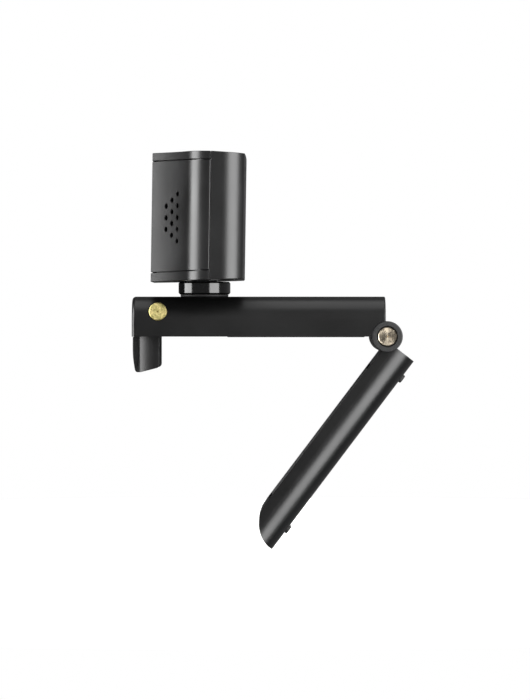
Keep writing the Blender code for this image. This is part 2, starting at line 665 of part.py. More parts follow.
def microphone_holes():
    """Cutters for both hexagonal groups of holes, square to each flank."""
    points = [p for p in head_outline() if p[0] > SNOUT_HALF and p[1] < -3.0 * MM]
    lengths = [0.0]
    for before, after in zip(points, points[1:]):
        lengths.append(lengths[-1] + (Vector(after) - Vector(before)).length)
    first_column = 7.2 * MM
    column_pitch = MIC_PITCH * math.sqrt(0.75)
    cutters = []
    for column, count in enumerate((3, 4, 5)):
        along = first_column + column * column_pitch
        index = max(i for i, length in enumerate(lengths[:-1]) if length <= along)
        start = Vector(points[index])
        step = (Vector(points[index + 1]) - start).normalized()
        place = start + step * (along - lengths[index])
        for row in range(count):
            z = LENS_Z + (row - (count - 1) / 2) * MIC_PITCH
            cutters.append((place, step, z))
    return cutters


def build_front_cover(looks, parent):
    """The wrap-around cover between the bands, with the microphone holes."""
    whole = head_outline()
    outer = clip(whole, SEAM - GAP / 2, True)
    inner = clip(inset(whole, COVER_SKIN), SEAM + MM, True)
    cover = prism("head_front_cover", outer, above_floor(BOTTOM_BAND + GAP), HEAD_TOP - TOP_BAND - GAP)
    cut(cover, prism("inside", inner, HEAD_BOTTOM - MM, HEAD_TOP + MM),
        disc("lens_opening", (0.0, LENS_Z), 9.5 * MM, -20.0 * MM, -9.5 * MM, "Y", ROUND_SIDES),
        disc("light_hole", (STATUS_LIGHT_X, LENS_Z), 1.1 * MM, -20.0 * MM, -9.5 * MM, "Y", 12))
    shape = bmesh.new()
    reach = 2.6 * MM
    for place, step, z in microphone_holes():
        for side in (-1, 1):
            across = Vector((side * step.y, -step.x, 0.0))
            turn = Vector((0.0, 0.0, 1.0)).rotation_difference(across).to_matrix().to_4x4()
            middle = Vector((side * place.x, place.y, z)) - across * COVER_SKIN / 2
            bmesh.ops.create_cone(shape, cap_ends=True, segments=8, radius1=MIC_HOLE, radius2=MIC_HOLE,
                                  depth=reach, matrix=Matrix.Translation(middle) @ turn)
    mesh = bpy.data.meshes.new("microphone_holes")
    shape.to_mesh(mesh)
    shape.free()
    holes = bpy.data.objects.new("microphone_holes", mesh)
    bpy.context.collection.objects.link(holes)
    cut(cover, holes)
    finish(cover, looks["satin_black"], parent)


def build_back_shell(looks, parent):
    """The back shell with its screw bosses and the socket's opening."""
    whole = head_outline()
    back_limit = SEAM + GAP / 2
    shell = prism("head_back_shell", clip(whole, back_limit, False), head_floor, head_ceiling)
    hollow = clip(inset(whole, SHELL_WALL), SEAM - MM, False)
    cut(shell, prism("hollow", hollow, above_floor(SHELL_WALL), HEAD_TOP - SHELL_WALL))
    for x, z in SHELL_SCREWS.values():
        join(shell, disc("boss", (x, z), 3.0 * MM, SEAM + 0.4 * MM, HEAD_BACK - MM, "Y"))
        cut(shell, disc("hole", (x, z), 1.3 * MM, 0.0, 20.0 * MM, "Y", 12),
            disc("head_room", (x, z), 2.3 * MM, 8.0 * MM, 20.0 * MM, "Y"))
    cut(shell, neck_opening(),
        prism("socket_opening", socket_outline(0.3 * MM), 8.0 * MM, 20.0 * MM, "Y"))
    finish(shell, looks["satin_black"], parent)


SOCKET_Z = 11.0 * MM


def socket_outline(grow, half=4.47 * MM, radius=1.6 * MM):
    """The oblong outline of the cord's socket, in (x, z)."""
    reach = half - radius
    outline = arc((reach, SOCKET_Z), radius + grow, -90.0, 90.0, 6)
    outline += arc((-reach, SOCKET_Z), radius + grow, 90.0, 270.0, 6)
    return outline


def build_lens(looks, parent):
    """Everything along the lens axis, from the bezel to the sensor."""
    centre = (0.0, LENS_Z)
    bezel = disc("lens_bezel_ring", centre, 9.2 * MM, HEAD_FRONT + 0.05 * MM, -13.4 * MM, "Y", ROUND_SIDES)
    step_y = -13.9 * MM
    cut(bezel, disc("window_seat", centre, 6.3 * MM, -20.0 * MM, step_y, "Y", ROUND_SIDES),
        disc("aperture", centre, 5.0 * MM, -20.0 * MM, 0.0, "Y", ROUND_SIDES))
    finish(bezel, looks["gloss_black"], parent)
    window = disc("lens_window", centre, 6.0 * MM, step_y - 1.1 * MM, step_y - 0.2 * MM, "Y", ROUND_SIDES)
    finish(window, looks["glass"], parent)
    barrel = disc("lens_barrel", centre, 5.5 * MM, -13.1 * MM, -4.5 * MM, "Y", ROUND_SIDES)
    cut(barrel, disc("front_bore", centre, 4.6 * MM, -20.0 * MM, -10.4 * MM, "Y", ROUND_SIDES),
        disc("rear_bore", centre, 3.4 * MM, -20.0 * MM, 0.0, "Y", ROUND_SIDES))
    finish(barrel, looks["matte_black"], parent)
    front = disc("lens_front_element", centre, 4.3 * MM, -12.4 * MM, -10.7 * MM, "Y", ROUND_SIDES)
    finish(front, looks["glass"], parent)
    rear = disc("lens_rear_element", centre, 3.1 * MM, -8.4 * MM, -6.6 * MM, "Y", ROUND_SIDES)
    finish(rear, looks["glass"], parent)
    half = 7.0 * MM
    holder = block("lens_holder", (-half, -9.0 * MM, LENS_Z - half), (half, -0.9 * MM, LENS_Z + half))
    cut(holder, disc("thread_bore", centre, 5.8 * MM, -20.0 * MM, -4.2 * MM, "Y", ROUND_SIDES),
        disc("sensor_bore", centre, 4.5 * MM, -20.0 * MM, 0.0, "Y", ROUND_SIDES))
    finish(holder, looks["matte_black"], parent)
    filter_half = 3.0 * MM
    infrared = block("ir_filter", (-filter_half, -3.7 * MM, LENS_Z - filter_half),
                     (filter_half, -3.3 * MM, LENS_Z + filter_half))
    finish(infrared, looks["glass"], parent)
    sensor = block("image_sensor", (-3.0 * MM, -2.0 * MM, LENS_Z - 2.5 * MM),
                   (3.0 * MM, -0.9 * MM, LENS_Z + 2.5 * MM))
    finish(sensor, looks["matte_black"], parent)


def build_electronics(looks, parent):
    """The main board and what is soldered or screwed to it."""
    board_face = 0.6 * MM
    board = block("main_board", (-BOARD_HALF, -board_face, 6.2 * MM), (BOARD_HALF, board_face, 27.0 * MM))
    on_board = board_face + GAP
    for name, (x, z) in BOARD_SCREWS.items():
        cut(board, disc("hole", (x, z), 1.1 * MM, -MM, MM, "Y", 12))
        screw(name, looks["steel"], parent, (x, board_face + 0.1 * MM, z), (0.0, 1.0, 0.0),
              (1.7 * MM, 1.0 * MM, 0.8 * MM, 5.0 * MM))
    finish(board, looks["board_green"], parent)
    chip_half = 4.5 * MM
    chip = block("image_processor", (-13.0 * MM - chip_half, on_board, 14.0 * MM - chip_half),
                 (-13.0 * MM + chip_half, on_board + 1.1 * MM, 14.0 * MM + chip_half))
    finish(chip, looks["matte_black"], parent)
    socket = prism("usb_socket", socket_outline(0.0), on_board, 11.5 * MM, "Y")
    hollow = prism("hollow", socket_outline(-0.35 * MM), 5.0 * MM, 20.0 * MM, "Y")
    tongue_half = 3.3 * MM
    cut(hollow, block("tongue", (-tongue_half, 4.0 * MM, SOCKET_Z - 0.35 * MM),
                      (tongue_half, 10.6 * MM, SOCKET_Z + 0.35 * MM)))
    cut(socket, hollow)
    finish(socket, looks["steel"], parent)
    for name, side in (("microphone_left", -1), ("microphone_right", 1)):
        low, high = sorted((side * (MIC_X - 2.0 * MM), side * (MIC_X + 2.0 * MM)))
        can = block(name, (low, -on_board - 1.1 * MM, LENS_Z - 1.5 * MM), (high, -on_board, LENS_Z + 1.5 * MM))
        finish(can, looks["steel"], parent)
    depth = COVER_SKIN + GAP
    for name, side in (("mic_mesh_left", -1), ("mic_mesh_right", 1)):
        finish(mesh_solid(name, side, depth, depth + 0.35 * MM, 0.0), looks["fabric_black"], parent)
    light = disc("status_light", (STATUS_LIGHT_X, LENS_Z), 0.8 * MM, HEAD_FRONT + 0.05 * MM, -on_board,
                 "Y", 12)
    finish(light, looks["light_pipe"], parent)


def build_tilt_bracket(looks, parent):
    """The fork that hangs the head on the neck's tongue, and its pin."""
    ear_inner = TONGUE_HALF + GAP
    ear_outer = ear_inner + 1.5 * MM
    half_length = 16.0 * MM
    bracket = block("tilt_bracket", (-half_length, -5.2 * MM, BRACKET_LOW),
                    (half_length, 3.6 * MM, BRACKET_TOP))
    ear = [(3.6 * MM, BRACKET_LOW + 0.5 * MM), (-3.6 * MM, BRACKET_LOW + 0.5 * MM)]
    ear += arc((0.0, 0.0), 3.6 * MM, 180.0, 360.0, 8)
    for side in (-1, 1):
        low, high = sorted((side * ear_inner, side * ear_outer))
        join(bracket, prism("ear", ear, low, high, "X"))
    cut(bracket, disc("bore", (0.0, 0.0), TILT_PIN + GAP, -9.0 * MM, 9.0 * MM))
    for name, (x, y) in BRACKET_SCREWS.items():
        cut(bracket, disc("hole", (x, y), 1.1 * MM, 0.0, 9.0 * MM, "Z", 12))
        screw(name, looks["steel"], parent, (x, y, BRACKET_TOP + 0.1 * MM), (0.0, 0.0, 1.0),
              (1.5 * MM, 0.9 * MM, 0.8 * MM, 6.0 * MM))
    finish(bracket, looks["steel"], parent)
    pin = disc("tilt_pin", (0.0, 0.0), TILT_PIN, -ear_outer - 0.7 * MM, ear_outer + 0.7 * MM)
    for side in (-1, 1):
        low, high = sorted((side * (ear_outer + 0.2 * MM), side * (ear_outer + 0.9 * MM)))
        join(pin, disc("head", (0.0, 0.0), 2.2 * MM, low, high))
    finish(pin, looks["steel"], parent)


def build_head(looks, parent):
    """The whole head."""
    build_front_frame(looks, parent)
    build_front_cover(looks, parent)
    build_back_shell(looks, parent)
    build_lens(looks, parent)
    build_electronics(looks, parent)
    build_tilt_bracket(looks, parent)
    for name, (x, z) in SHELL_SCREWS.items():
        screw(name, looks["steel"], parent, (x, 8.1 * MM, z), (0.0, 1.0, 0.0),
              (1.9 * MM, 1.4 * MM, 0.9 * MM, 9.0 * MM))


def make_looks():
    """One material for each finish."""
    return {
        "satin_black": material("satin_black", (0.028, 0.028, 0.029), 0.38, 0.3),
        "gloss_black": material("gloss_black", (0.012, 0.012, 0.012), 0.12),
        "matte_black": material("matte_black", (0.03, 0.03, 0.03), 0.7),
        "fabric_black": material("fabric_black", (0.02, 0.02, 0.02), 0.9),
        "rubber": material("rubber", (0.02, 0.02, 0.02), 0.85),
        "nylon": material("nylon", (0.03, 0.03, 0.03), 0.5),
        "brass": material("brass", (0.40, 0.34, 0.15), 0.45, 0.9),
        "bronze": material("bronze", (0.42, 0.36, 0.27), 0.3, 1.0),
        "steel": material("steel", (0.45, 0.45, 0.46), 0.3, 1.0),
        "glass": material("glass", (0.05, 0.05, 0.07), 0.03),
        "board_green": material("board_green", (0.01, 0.08, 0.04), 0.5),
        "light_pipe": material("light_pipe", (0.7, 0.75, 0.8), 0.2),
    }


def main():
    """Build every body on its own joint's axis."""
    clear_scene()
    looks = make_looks()
    build_arm(looks)
    build_arm_underside(looks)
    build_hinge_hardware(looks)
    build_lip(looks, joint_empty("lip_axis", LIP_AXIS))
    build_leg(looks, joint_empty("leg_axis", LEG_AXIS, LEG_OPEN))
    pan_empty = joint_empty("pan_axis", (0.0, NECK_Y, 0.0))
    build_neck(looks, pan_empty)
    build_head(looks, joint_empty("tilt_axis", (0.0, 0.0, TILT_HEIGHT), HEAD_LEAN, pan_empty))


main()
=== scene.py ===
import json
import math

import bmesh
import bpy
from mathutils import Matrix, Vector


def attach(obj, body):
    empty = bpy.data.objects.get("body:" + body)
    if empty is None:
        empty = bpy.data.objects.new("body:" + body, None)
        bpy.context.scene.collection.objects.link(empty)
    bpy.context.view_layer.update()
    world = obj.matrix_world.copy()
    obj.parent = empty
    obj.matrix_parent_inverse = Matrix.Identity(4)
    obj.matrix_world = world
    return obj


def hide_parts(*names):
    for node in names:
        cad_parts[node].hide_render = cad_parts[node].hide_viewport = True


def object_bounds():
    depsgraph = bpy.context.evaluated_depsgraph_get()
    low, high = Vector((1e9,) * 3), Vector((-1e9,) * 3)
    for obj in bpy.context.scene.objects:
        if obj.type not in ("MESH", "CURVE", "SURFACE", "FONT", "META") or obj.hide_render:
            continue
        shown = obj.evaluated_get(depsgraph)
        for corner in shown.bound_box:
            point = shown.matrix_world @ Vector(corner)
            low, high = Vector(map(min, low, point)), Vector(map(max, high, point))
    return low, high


# Looks of a webcam on a folding clip stand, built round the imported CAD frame.
# Everything is in metres in the frame's own axes: the lens looks along -Y.

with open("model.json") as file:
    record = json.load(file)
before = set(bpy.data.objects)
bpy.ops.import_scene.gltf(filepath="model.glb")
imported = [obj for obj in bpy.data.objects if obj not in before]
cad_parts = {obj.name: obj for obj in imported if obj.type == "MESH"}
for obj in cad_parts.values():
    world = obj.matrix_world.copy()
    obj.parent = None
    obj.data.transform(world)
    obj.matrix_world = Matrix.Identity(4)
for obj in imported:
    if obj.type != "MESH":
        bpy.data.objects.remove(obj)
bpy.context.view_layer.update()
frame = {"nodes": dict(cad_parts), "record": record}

MM = 0.001
GAP = 0.3 * MM      # clearance between neighbouring pieces
FAR = 20.0 * MM     # level of a cutter's far end, clear of the piece that it cuts
JOINTS = {joint["name"]: joint for joint in frame["record"]["behaviour"]["joints"]}
TILT_AXIS = Vector(JOINTS["tilt"]["pos_m"])
LEG_AXIS = Vector(JOINTS["leg_fold"]["pos_m"])
LIP_AXIS = Vector(JOINTS["lip_fold"]["pos_m"])
PAN_AXIS = Vector(JOINTS["pan"]["pos_m"])
HEAD_LEAN = math.radians(-0.86)
LEG_OPEN = math.radians(-JOINTS["leg_fold"]["range_deg"][0])
HEAD_PLACE = Matrix.Translation(TILT_AXIS) @ Matrix.Rotation(HEAD_LEAN, 4, "X")
LEG_PLACE = Matrix.Translation(LEG_AXIS) @ Matrix.Rotation(LEG_OPEN, 4, "X")

# ------------------------------------------------------------ mesh helpers

SHARP_ANGLE = math.radians(32.0)


def new_piece(name, points, faces):
    """An object from points and faces, with its faces pointing out."""
    mesh = bpy.data.meshes.new(name)
    mesh.from_pydata(points, [], faces)
    shape = bmesh.new()
    shape.from_mesh(mesh)
    if shape.calc_volume(signed=True) < 0.0:
        bmesh.ops.reverse_faces(shape, faces=shape.faces)
    shape.to_mesh(mesh)
    shape.free()
    made = bpy.data.objects.new(name, mesh)
    bpy.context.collection.objects.link(made)
    return made


def arc(centre, radius, start, stop, steps):
    """Points on an arc between two angles in degrees, both ends included."""
    points = []
    for step in range(steps + 1):
        angle = math.radians(start + (stop - start) * step / steps)
        points.append((centre[0] + radius * math.cos(angle),
                       centre[1] + radius * math.sin(angle)))
    return points


def mirrored(points):
    """Close a half outline at +X with its mirror image at -X."""
    return points + [(-x, y) for x, y in reversed(points) if x > 0.01 * MM]


def inset(points, distance):
    """Move a counter-clockwise outline inwards by a distance."""
    count = len(points)
    moved = []
    for index in range(count):
        before = Vector(points[index - 1])
        here = Vector(points[index])
        after = Vector(points[(index + 1) % count])
        first = (here - before).normalized()
        second = (after - here).normalized()
        normal_one = Vector((-first.y, first.x))
        normal_two = Vector((-second.y, second.x))
        bisector = (normal_one + normal_two) / (1.0 + normal_one.dot(normal_two))
        moved.append(tuple(here + bisector * distance))
    return moved


def eased(points, radius, steps=3):
    """Round the sharp corners of an outline, dropping points that a rounding swallows."""
    count = len(points)
    sharp = {}
    for index in range(count):
        here = Vector(points[index])
        first = (here - Vector(points[index - 1])).normalized()
        second = (Vector(points[(index + 1) % count]) - here).normalized()
        turn = first.angle(second)
        if turn > math.radians(25.0):
            sharp[index] = (here, first, second, radius * math.tan(turn / 2))
    result = []
    for index in range(count):
        if index not in sharp:
            point = Vector(points[index])
            if all((point - corner).length > 1.1 * reach for corner, _, _, reach in sharp.values()):
                result.append(tuple(point))
            continue
        corner, first, second, reach = sharp[index]
        start = corner - first * reach
        end = corner + second * reach
        for step in range(steps + 1):
            share = step / steps
            result.append(tuple(start.lerp(corner, share).lerp(corner.lerp(end, share), share)))
    return result


def clip(points, limit, front):
    """Keep the part of an outline in front of a level of y, or behind it."""
    sign = 1.0 if front else -1.0
    kept = []
    for here, after in zip(points, points[1:] + points[:1]):
        inside = (limit - here[1]) * sign >= 0.0
        if inside:
            kept.append(here)
        if inside != ((limit - after[1]) * sign >= 0.0):
            share = (limit - here[1]) / (after[1] - here[1])
            kept.append((here[0] + share * (after[0] - here[0]), limit))
    return kept


def bezier(first, handle_one, handle_two, last, steps):
    """Points on a cubic curve, without its first point."""
    corners = (first, handle_one, handle_two, last)
    points = []
    for step in range(1, steps + 1):
        share = step / steps
        rest = 1 - share
        weights = (rest ** 3, 3 * share * rest ** 2, 3 * share * share * rest, share ** 3)
        points.append(tuple(sum(weight * corner[axis] for weight, corner in zip(weights, corners))
                            for axis in (0, 1)))
    return points


def placed(point, level, axis):
    """A point of an outline at a level along the axis it is extruded along."""
    first, second = point
    if axis == "Z":
        return (first, second, level)
    if axis == "Y":
        return (first, level, second)
    return (level, first, second)


def rounded_prism(name, outline, low, high, axis="Z", low_round=0.0, high_round=0.0, steps=4):
    """Extrude an outline with rounded rims; low and high may be functions of y."""
    rings = []
    for limit, radius, outward in ((low, low_round, -1.0), (high, high_round, 1.0)):
        stages = range(steps + 1) if radius > 0.0 else (0,)
        ends = []
        for stage in stages:
            turn = 0.5 * math.pi * stage / steps
            shape = inset(outline, radius * (1.0 - math.cos(turn)))
            back = radius * (1.0 - math.sin(turn)) if radius > 0.0 else 0.0
            ring = []
            for point in shape:
                level = limit(point[1]) if callable(limit) else limit
                ring.append(placed(point, level - outward * back, axis))
            ends.append(ring)
        rings.append(ends)
    stack = list(reversed(rings[0])) + rings[1]
    return skin(name, stack)


def skin(name, stack):
    """Join rings of equal length into one closed solid with flat ends."""
    count = len(stack[0])
    points = [point for ring in stack for point in ring]
    faces = []
    for level in range(len(stack) - 1):
        start = level * count
        for index in range(count):
            after = (index + 1) % count
            faces.append((start + index, start + after, start + after + count, start + index + count))
    faces.append(tuple(reversed(range(count))))
    faces.append(tuple(range((len(stack) - 1) * count, len(stack) * count)))
    return new_piece(name, points, faces)


def turned(name, profile, centre, axis="X", sides=96):
    """Turn a profile of (radius, level) points about an axis through centre."""
    stack = []
    for radius, level in profile:
        ring = arc(centre, max(radius, 0.002 * MM), 0.0, 360.0 - 360.0 / sides, sides - 1)
        stack.append([placed(point, level, axis) for point in ring])
    return skin(name, stack)


def rod(name, centre, radius, low, high, axis="X", sides=48):
    """A plain cylinder, used as a cutter or to join a boss."""
    return turned(name, [(radius, low), (radius, high)], centre, axis, sides)


def block(name, low, high):
    """A box between two corners, used as a cutter."""
    outline = [(low[0], low[1]), (high[0], low[1]), (high[0], high[1]), (low[0], high[1])]
    return rounded_prism(name, outline, low[2], high[2])


def combine(target, tool, operation):
    """Apply a Boolean with a tool shape, then drop the tool."""
    modifier = target.modifiers.new(operation.lower(), "BOOLEAN")
    modifier.operation = operation
    modifier.object = tool
    modifier.solver = "EXACT"
    graph = bpy.context.evaluated_depsgraph_get()
    result = bpy.data.meshes.new_from_object(target.evaluated_get(graph))
    target.modifiers.clear()
    target.data = result
    bpy.data.objects.remove(tool)


def cut(target, *tools):
    """Cut each tool shape out of the target."""
    for tool in tools:
        combine(target, tool, "DIFFERENCE")


def join(target, *tools):
    """Join each tool shape to the target."""
    for tool in tools:
        combine(target, tool, "UNION")


def merged(name, pieces):
    """Several shapes as one mesh, without a Boolean."""
    shape = bmesh.new()
    for piece in pieces:
        shape.from_mesh(piece.data)
        bpy.data.objects.remove(piece)
    mesh = bpy.data.meshes.new(name)
    shape.to_mesh(mesh)
    shape.free()
    made = bpy.data.objects.new(name, mesh)
    bpy.context.collection.objects.link(made)
    return made


def finish_piece(piece, body, slot, node, place=None, edge=0.0, look=None):
    """Place, shade and colour a piece, round its edges and tie it to the frame."""
    if place is not None:
        piece.data.transform(place)
    piece.data.materials.clear()
    piece.data.materials.append(LOOKS[look or slot])
    piece.data.shade_smooth()
    if edge == 0.0:
        piece.data.set_sharp_from_angle(angle=SHARP_ANGLE)
    else:
        bevel = piece.modifiers.new("edge", "BEVEL")
        bevel.width = edge
        bevel.segments = 3
        bevel.limit_method = "ANGLE"
        bevel.angle_limit = SHARP_ANGLE
        bevel.miter_outer = "MITER_ARC"
        bevel.use_clamp_overlap = True
    normals = piece.modifiers.new("normals", "WEIGHTED_NORMAL")
    normals.keep_sharp = True
    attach(piece, body)
    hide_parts(node)


# ------------------------------------------------------------ materials


def new_material(name, colour, roughness, metallic=0.0, **sockets):
    """A Principled material; sockets are constants set on the shader."""
    made = bpy.data.materials.new(name)
    made.use_nodes = True
    shader = made.node_tree.nodes["Principled BSDF"]
    shader.inputs["Base Color"].default_value = (*colour, 1.0)
    shader.inputs["Roughness"].default_value = roughness
    shader.inputs["Metallic"].default_value = metallic
    for socket, value in sockets.items():
        shader.inputs[socket.replace("_", " ")].default_value = value
    return made, made.node_tree, shader


def object_space(tree):
    """The object's own coordinates."""
    return tree.nodes.new("ShaderNodeTexCoord").outputs["Object"]


def noise(tree, scale, detail=3.0, stretch=(1.0, 1.0, 1.0)):
    """A noise pattern of so many cells to the metre, with a factor for each axis."""
    mapping = tree.nodes.new("ShaderNodeMapping")
    mapping.inputs["Scale"].default_value = stretch
    tree.links.new(object_space(tree), mapping.inputs["Vector"])
    pattern = tree.nodes.new("ShaderNodeTexNoise")
    pattern.inputs["Scale"].default_value = scale
    pattern.inputs["Detail"].default_value = detail
    tree.links.new(mapping.outputs["Vector"], pattern.inputs["Vector"])
    return pattern.outputs["Fac"]


def spread(tree, source, low, high):
    """Map a pattern's middle range to low .. high."""
    remap = tree.nodes.new("ShaderNodeMapRange")
    remap.inputs["From Min"].default_value = 0.3
    remap.inputs["From Max"].default_value = 0.7
    remap.inputs["To Min"].default_value = low
    remap.inputs["To Max"].default_value = high
    tree.links.new(source, remap.inputs["Value"])
    return remap.outputs["Result"]


def vary_colour(tree, shader, source, dark, light):
    """Blend the base colour between two tones by a pattern's middle range."""
    ramp = tree.nodes.new("ShaderNodeValToRGB")
    ramp.color_ramp.elements[0].position = 0.3
    ramp.color_ramp.elements[0].color = (*dark, 1.0)
    ramp.color_ramp.elements[1].position = 0.7
    ramp.color_ramp.elements[1].color = (*light, 1.0)
    tree.links.new(source, ramp.inputs["Fac"])
    tree.links.new(ramp.outputs["Color"], shader.inputs["Base Color"])


def add_bump(tree, shader, source, depth, strength=1.0, before=None):
    """Bump from a pattern, depth in metres; before is an earlier bump node."""
    bump = tree.nodes.new("ShaderNodeBump")
    bump.inputs["Distance"].default_value = depth
    bump.inputs["Strength"].default_value = strength
    tree.links.new(source, bump.inputs["Height"])
    if before is not None:
        tree.links.new(before.outputs["Normal"], bump.inputs["Normal"])
    tree.links.new(bump.outputs["Normal"], shader.inputs["Normal"])
    return bump


def coated_black(name, tone, rough_low, rough_high, grain_depth, grain=3200.0, specular=0.5):
    """A sprayed or moulded black skin with a fine grain and faint handling marks."""
    made, tree, shader = new_material(name, (tone,) * 3, rough_low, Specular_IOR_Level=specular)
    cloud = noise(tree, 90.0, 4.0)
    fine = noise(tree, grain, 2.0)
    vary_colour(tree, shader, cloud, (tone * 0.85,) * 3, (tone * 1.15, tone * 1.15, tone * 1.2))
    tree.links.new(spread(tree, cloud, rough_low, rough_high), shader.inputs["Roughness"])
    broad = add_bump(tree, shader, noise(tree, 700.0, 2.0), grain_depth * 1.5, 0.5)
    add_bump(tree, shader, fine, grain_depth, 0.8, broad)
    return made


def rubber_look(name):
    """Matte moulded rubber with a pebbled skin."""
    made, tree, shader = new_material(name, (0.012,) * 3, 0.8)
    cloud = noise(tree, 140.0)
    vary_colour(tree, shader, cloud, (0.010,) * 3, (0.018,) * 3)
    tree.links.new(spread(tree, cloud, 0.7, 0.9), shader.inputs["Roughness"])
    add_bump(tree, shader, noise(tree, 2600.0, 2.0), 0.00003)
    return made


def scratched_brass(name):
    """Yellow brass, brushed slantwise, with duller and greener patches."""
    made, tree, shader = new_material(name, (0.40, 0.34, 0.15), 0.4, 0.85)
    cloud = noise(tree, 900.0, 3.0)
    vary_colour(tree, shader, cloud, (0.27, 0.25, 0.085), (0.52, 0.43, 0.19))
    tree.links.new(spread(tree, cloud, 0.38, 0.6), shader.inputs["Roughness"])
    lines = add_bump(tree, shader, noise(tree, 1500.0, 3.0, (1.0, 2.2, 0.7)), 0.00010)
    add_bump(tree, shader, noise(tree, 3500.0, 2.0, (1.0, 0.4, 1.6)), 0.00004, 0.8, lines)
    return made


def turned_metal(name, colour, roughness, groove_depth, grooves):
    """Metal turned on a lathe: a sheen that fans out round the X axis, over fine grooves."""
    made, tree, shader = new_material(name, colour, roughness, 1.0, Anisotropic=0.75)
    tangent = tree.nodes.new("ShaderNodeTangent")
    tangent.direction_type = "RADIAL"
    tangent.axis = "X"
    tree.links.new(tangent.outputs["Tangent"], shader.inputs["Tangent"])
    wave = tree.nodes.new("ShaderNodeTexWave")
    wave.wave_type = "RINGS"
    wave.rings_direction = "X"
    wave.inputs["Scale"].default_value = grooves
    wave.inputs["Distortion"].default_value = 0.6
    tree.links.new(object_space(tree), wave.inputs["Vector"])
    cloud = noise(tree, 700.0)
    light = tuple(min(1.0, channel * 1.25) for channel in colour)
    dark = tuple(channel * 0.7 for channel in colour)
    vary_colour(tree, shader, cloud, dark, light)
    tree.links.new(spread(tree, cloud, roughness * 0.8, roughness * 1.3), shader.inputs["Roughness"])
    add_bump(tree, shader, wave.outputs["Fac"], groove_depth)
    return made


def plain_metal(name, colour, roughness):
    """Plated steel with a faint brushed grain."""
    made, tree, shader = new_material(name, colour, roughness, 1.0)
    grain = noise(tree, 1400.0, 3.0, (0.3, 1.0, 1.0))
    light = tuple(channel * 1.1 for channel in colour)
    dark = tuple(channel * 0.85 for channel in colour)
    vary_colour(tree, shader, grain, dark, light)
    tree.links.new(spread(tree, grain, roughness * 0.8, roughness * 1.25), shader.inputs["Roughness"])
    add_bump(tree, shader, grain, 0.000006)
    return made


def woven_mesh(name):
    """Black acoustic cloth with fine ribs."""
    made, tree, shader = new_material(name, (0.01,) * 3, 0.85)
    cloud = noise(tree, 3000.0, 2.0)
    vary_colour(tree, shader, cloud, (0.004,) * 3, (0.016,) * 3)
    wave = tree.nodes.new("ShaderNodeTexWave")
    wave.inputs["Scale"].default_value = 1200.0
    tree.links.new(object_space(tree), wave.inputs["Vector"])
    add_bump(tree, shader, wave.outputs["Fac"], 0.00003)
    return made


def lens_glass(name, tint, alpha):
    """Coated glass: a dark tint with a sharp, faintly blue reflection."""
    made, tree, shader = new_material(name, tint, 0.03, IOR=1.6, Coat_Weight=1.0, Coat_Roughness=0.02)
    shader.inputs["Coat Tint"].default_value = (0.75, 0.8, 1.0, 1.0)
    shader.inputs["Alpha"].default_value = alpha
    haze = noise(tree, 300.0)
    tree.links.new(spread(tree, haze, 0.02, 0.06), shader.inputs["Roughness"])
    vary_colour(tree, shader, haze, tuple(channel * 0.8 for channel in tint), tint)
    return made


def circuit_board_look(name):
    """Green solder mask with darker copper runs under it."""
    made, tree, shader = new_material(name, (0.01, 0.08, 0.04), 0.35)
    runs = noise(tree, 500.0, 1.0, (1.0, 1.0, 3.0))
    vary_colour(tree, shader, runs, (0.004, 0.045, 0.02), (0.012, 0.10, 0.05))
    tree.links.new(spread(tree, runs, 0.25, 0.45), shader.inputs["Roughness"])
    add_bump(tree, shader, runs, 0.00002)
    return made


def light_pipe_look(name):
    """A milky clear plastic rod end."""
    made, tree, shader = new_material(name, (0.62, 0.68, 0.72), 0.2)
    haze = noise(tree, 1200.0)
    vary_colour(tree, shader, haze, (0.50, 0.56, 0.62), (0.70, 0.75, 0.8))
    tree.links.new(spread(tree, haze, 0.12, 0.3), shader.inputs["Roughness"])
    return made


LOOKS = {
    "satin_black_plastic": coated_black("satin_black_plastic", 0.0035, 0.30, 0.36, 0.000004),
    "satin_black_metal": coated_black("satin_black_metal", 0.0015, 0.31, 0.36, 0.000005, 3200.0, 0.44),
    "gloss_black": coated_black("gloss_black", 0.003, 0.10, 0.14, 0.000001, 900.0),
    "matte_black": coated_black("matte_black", 0.012, 0.55, 0.7, 0.00001),
    "textured_grey": coated_black("textured_grey", 0.004, 0.5, 0.62, 0.00003, 4200.0),
    "rubber": rubber_look("rubber"),
    "brass": scratched_brass("brass"),
    "turned_bronze": turned_metal("turned_bronze", (0.50, 0.43, 0.33), 0.27, 0.000012, 520.0),
    "steel": plain_metal("steel", (0.45, 0.45, 0.46), 0.3),
    "acoustic_mesh": woven_mesh("acoustic_mesh"),
    "lens_glass": lens_glass("lens_glass", (0.02, 0.02, 0.03), 0.35),
    "circuit_board": circuit_board_look("circuit_board"),
    "light_pipe": light_pipe_look("light_pipe"),
}


def dress_cad_nodes():
    """Give every CAD node the procedural look of its material slot."""
    slots = {entry["node"]: entry["material_slot"] for entry in frame["record"]["subparts"]}
    for node, made in frame["nodes"].items():
        for material_slot in made.material_slots:
            material_slot.material = LOOKS[slots[node]]


# ------------------------------------------------------------ head

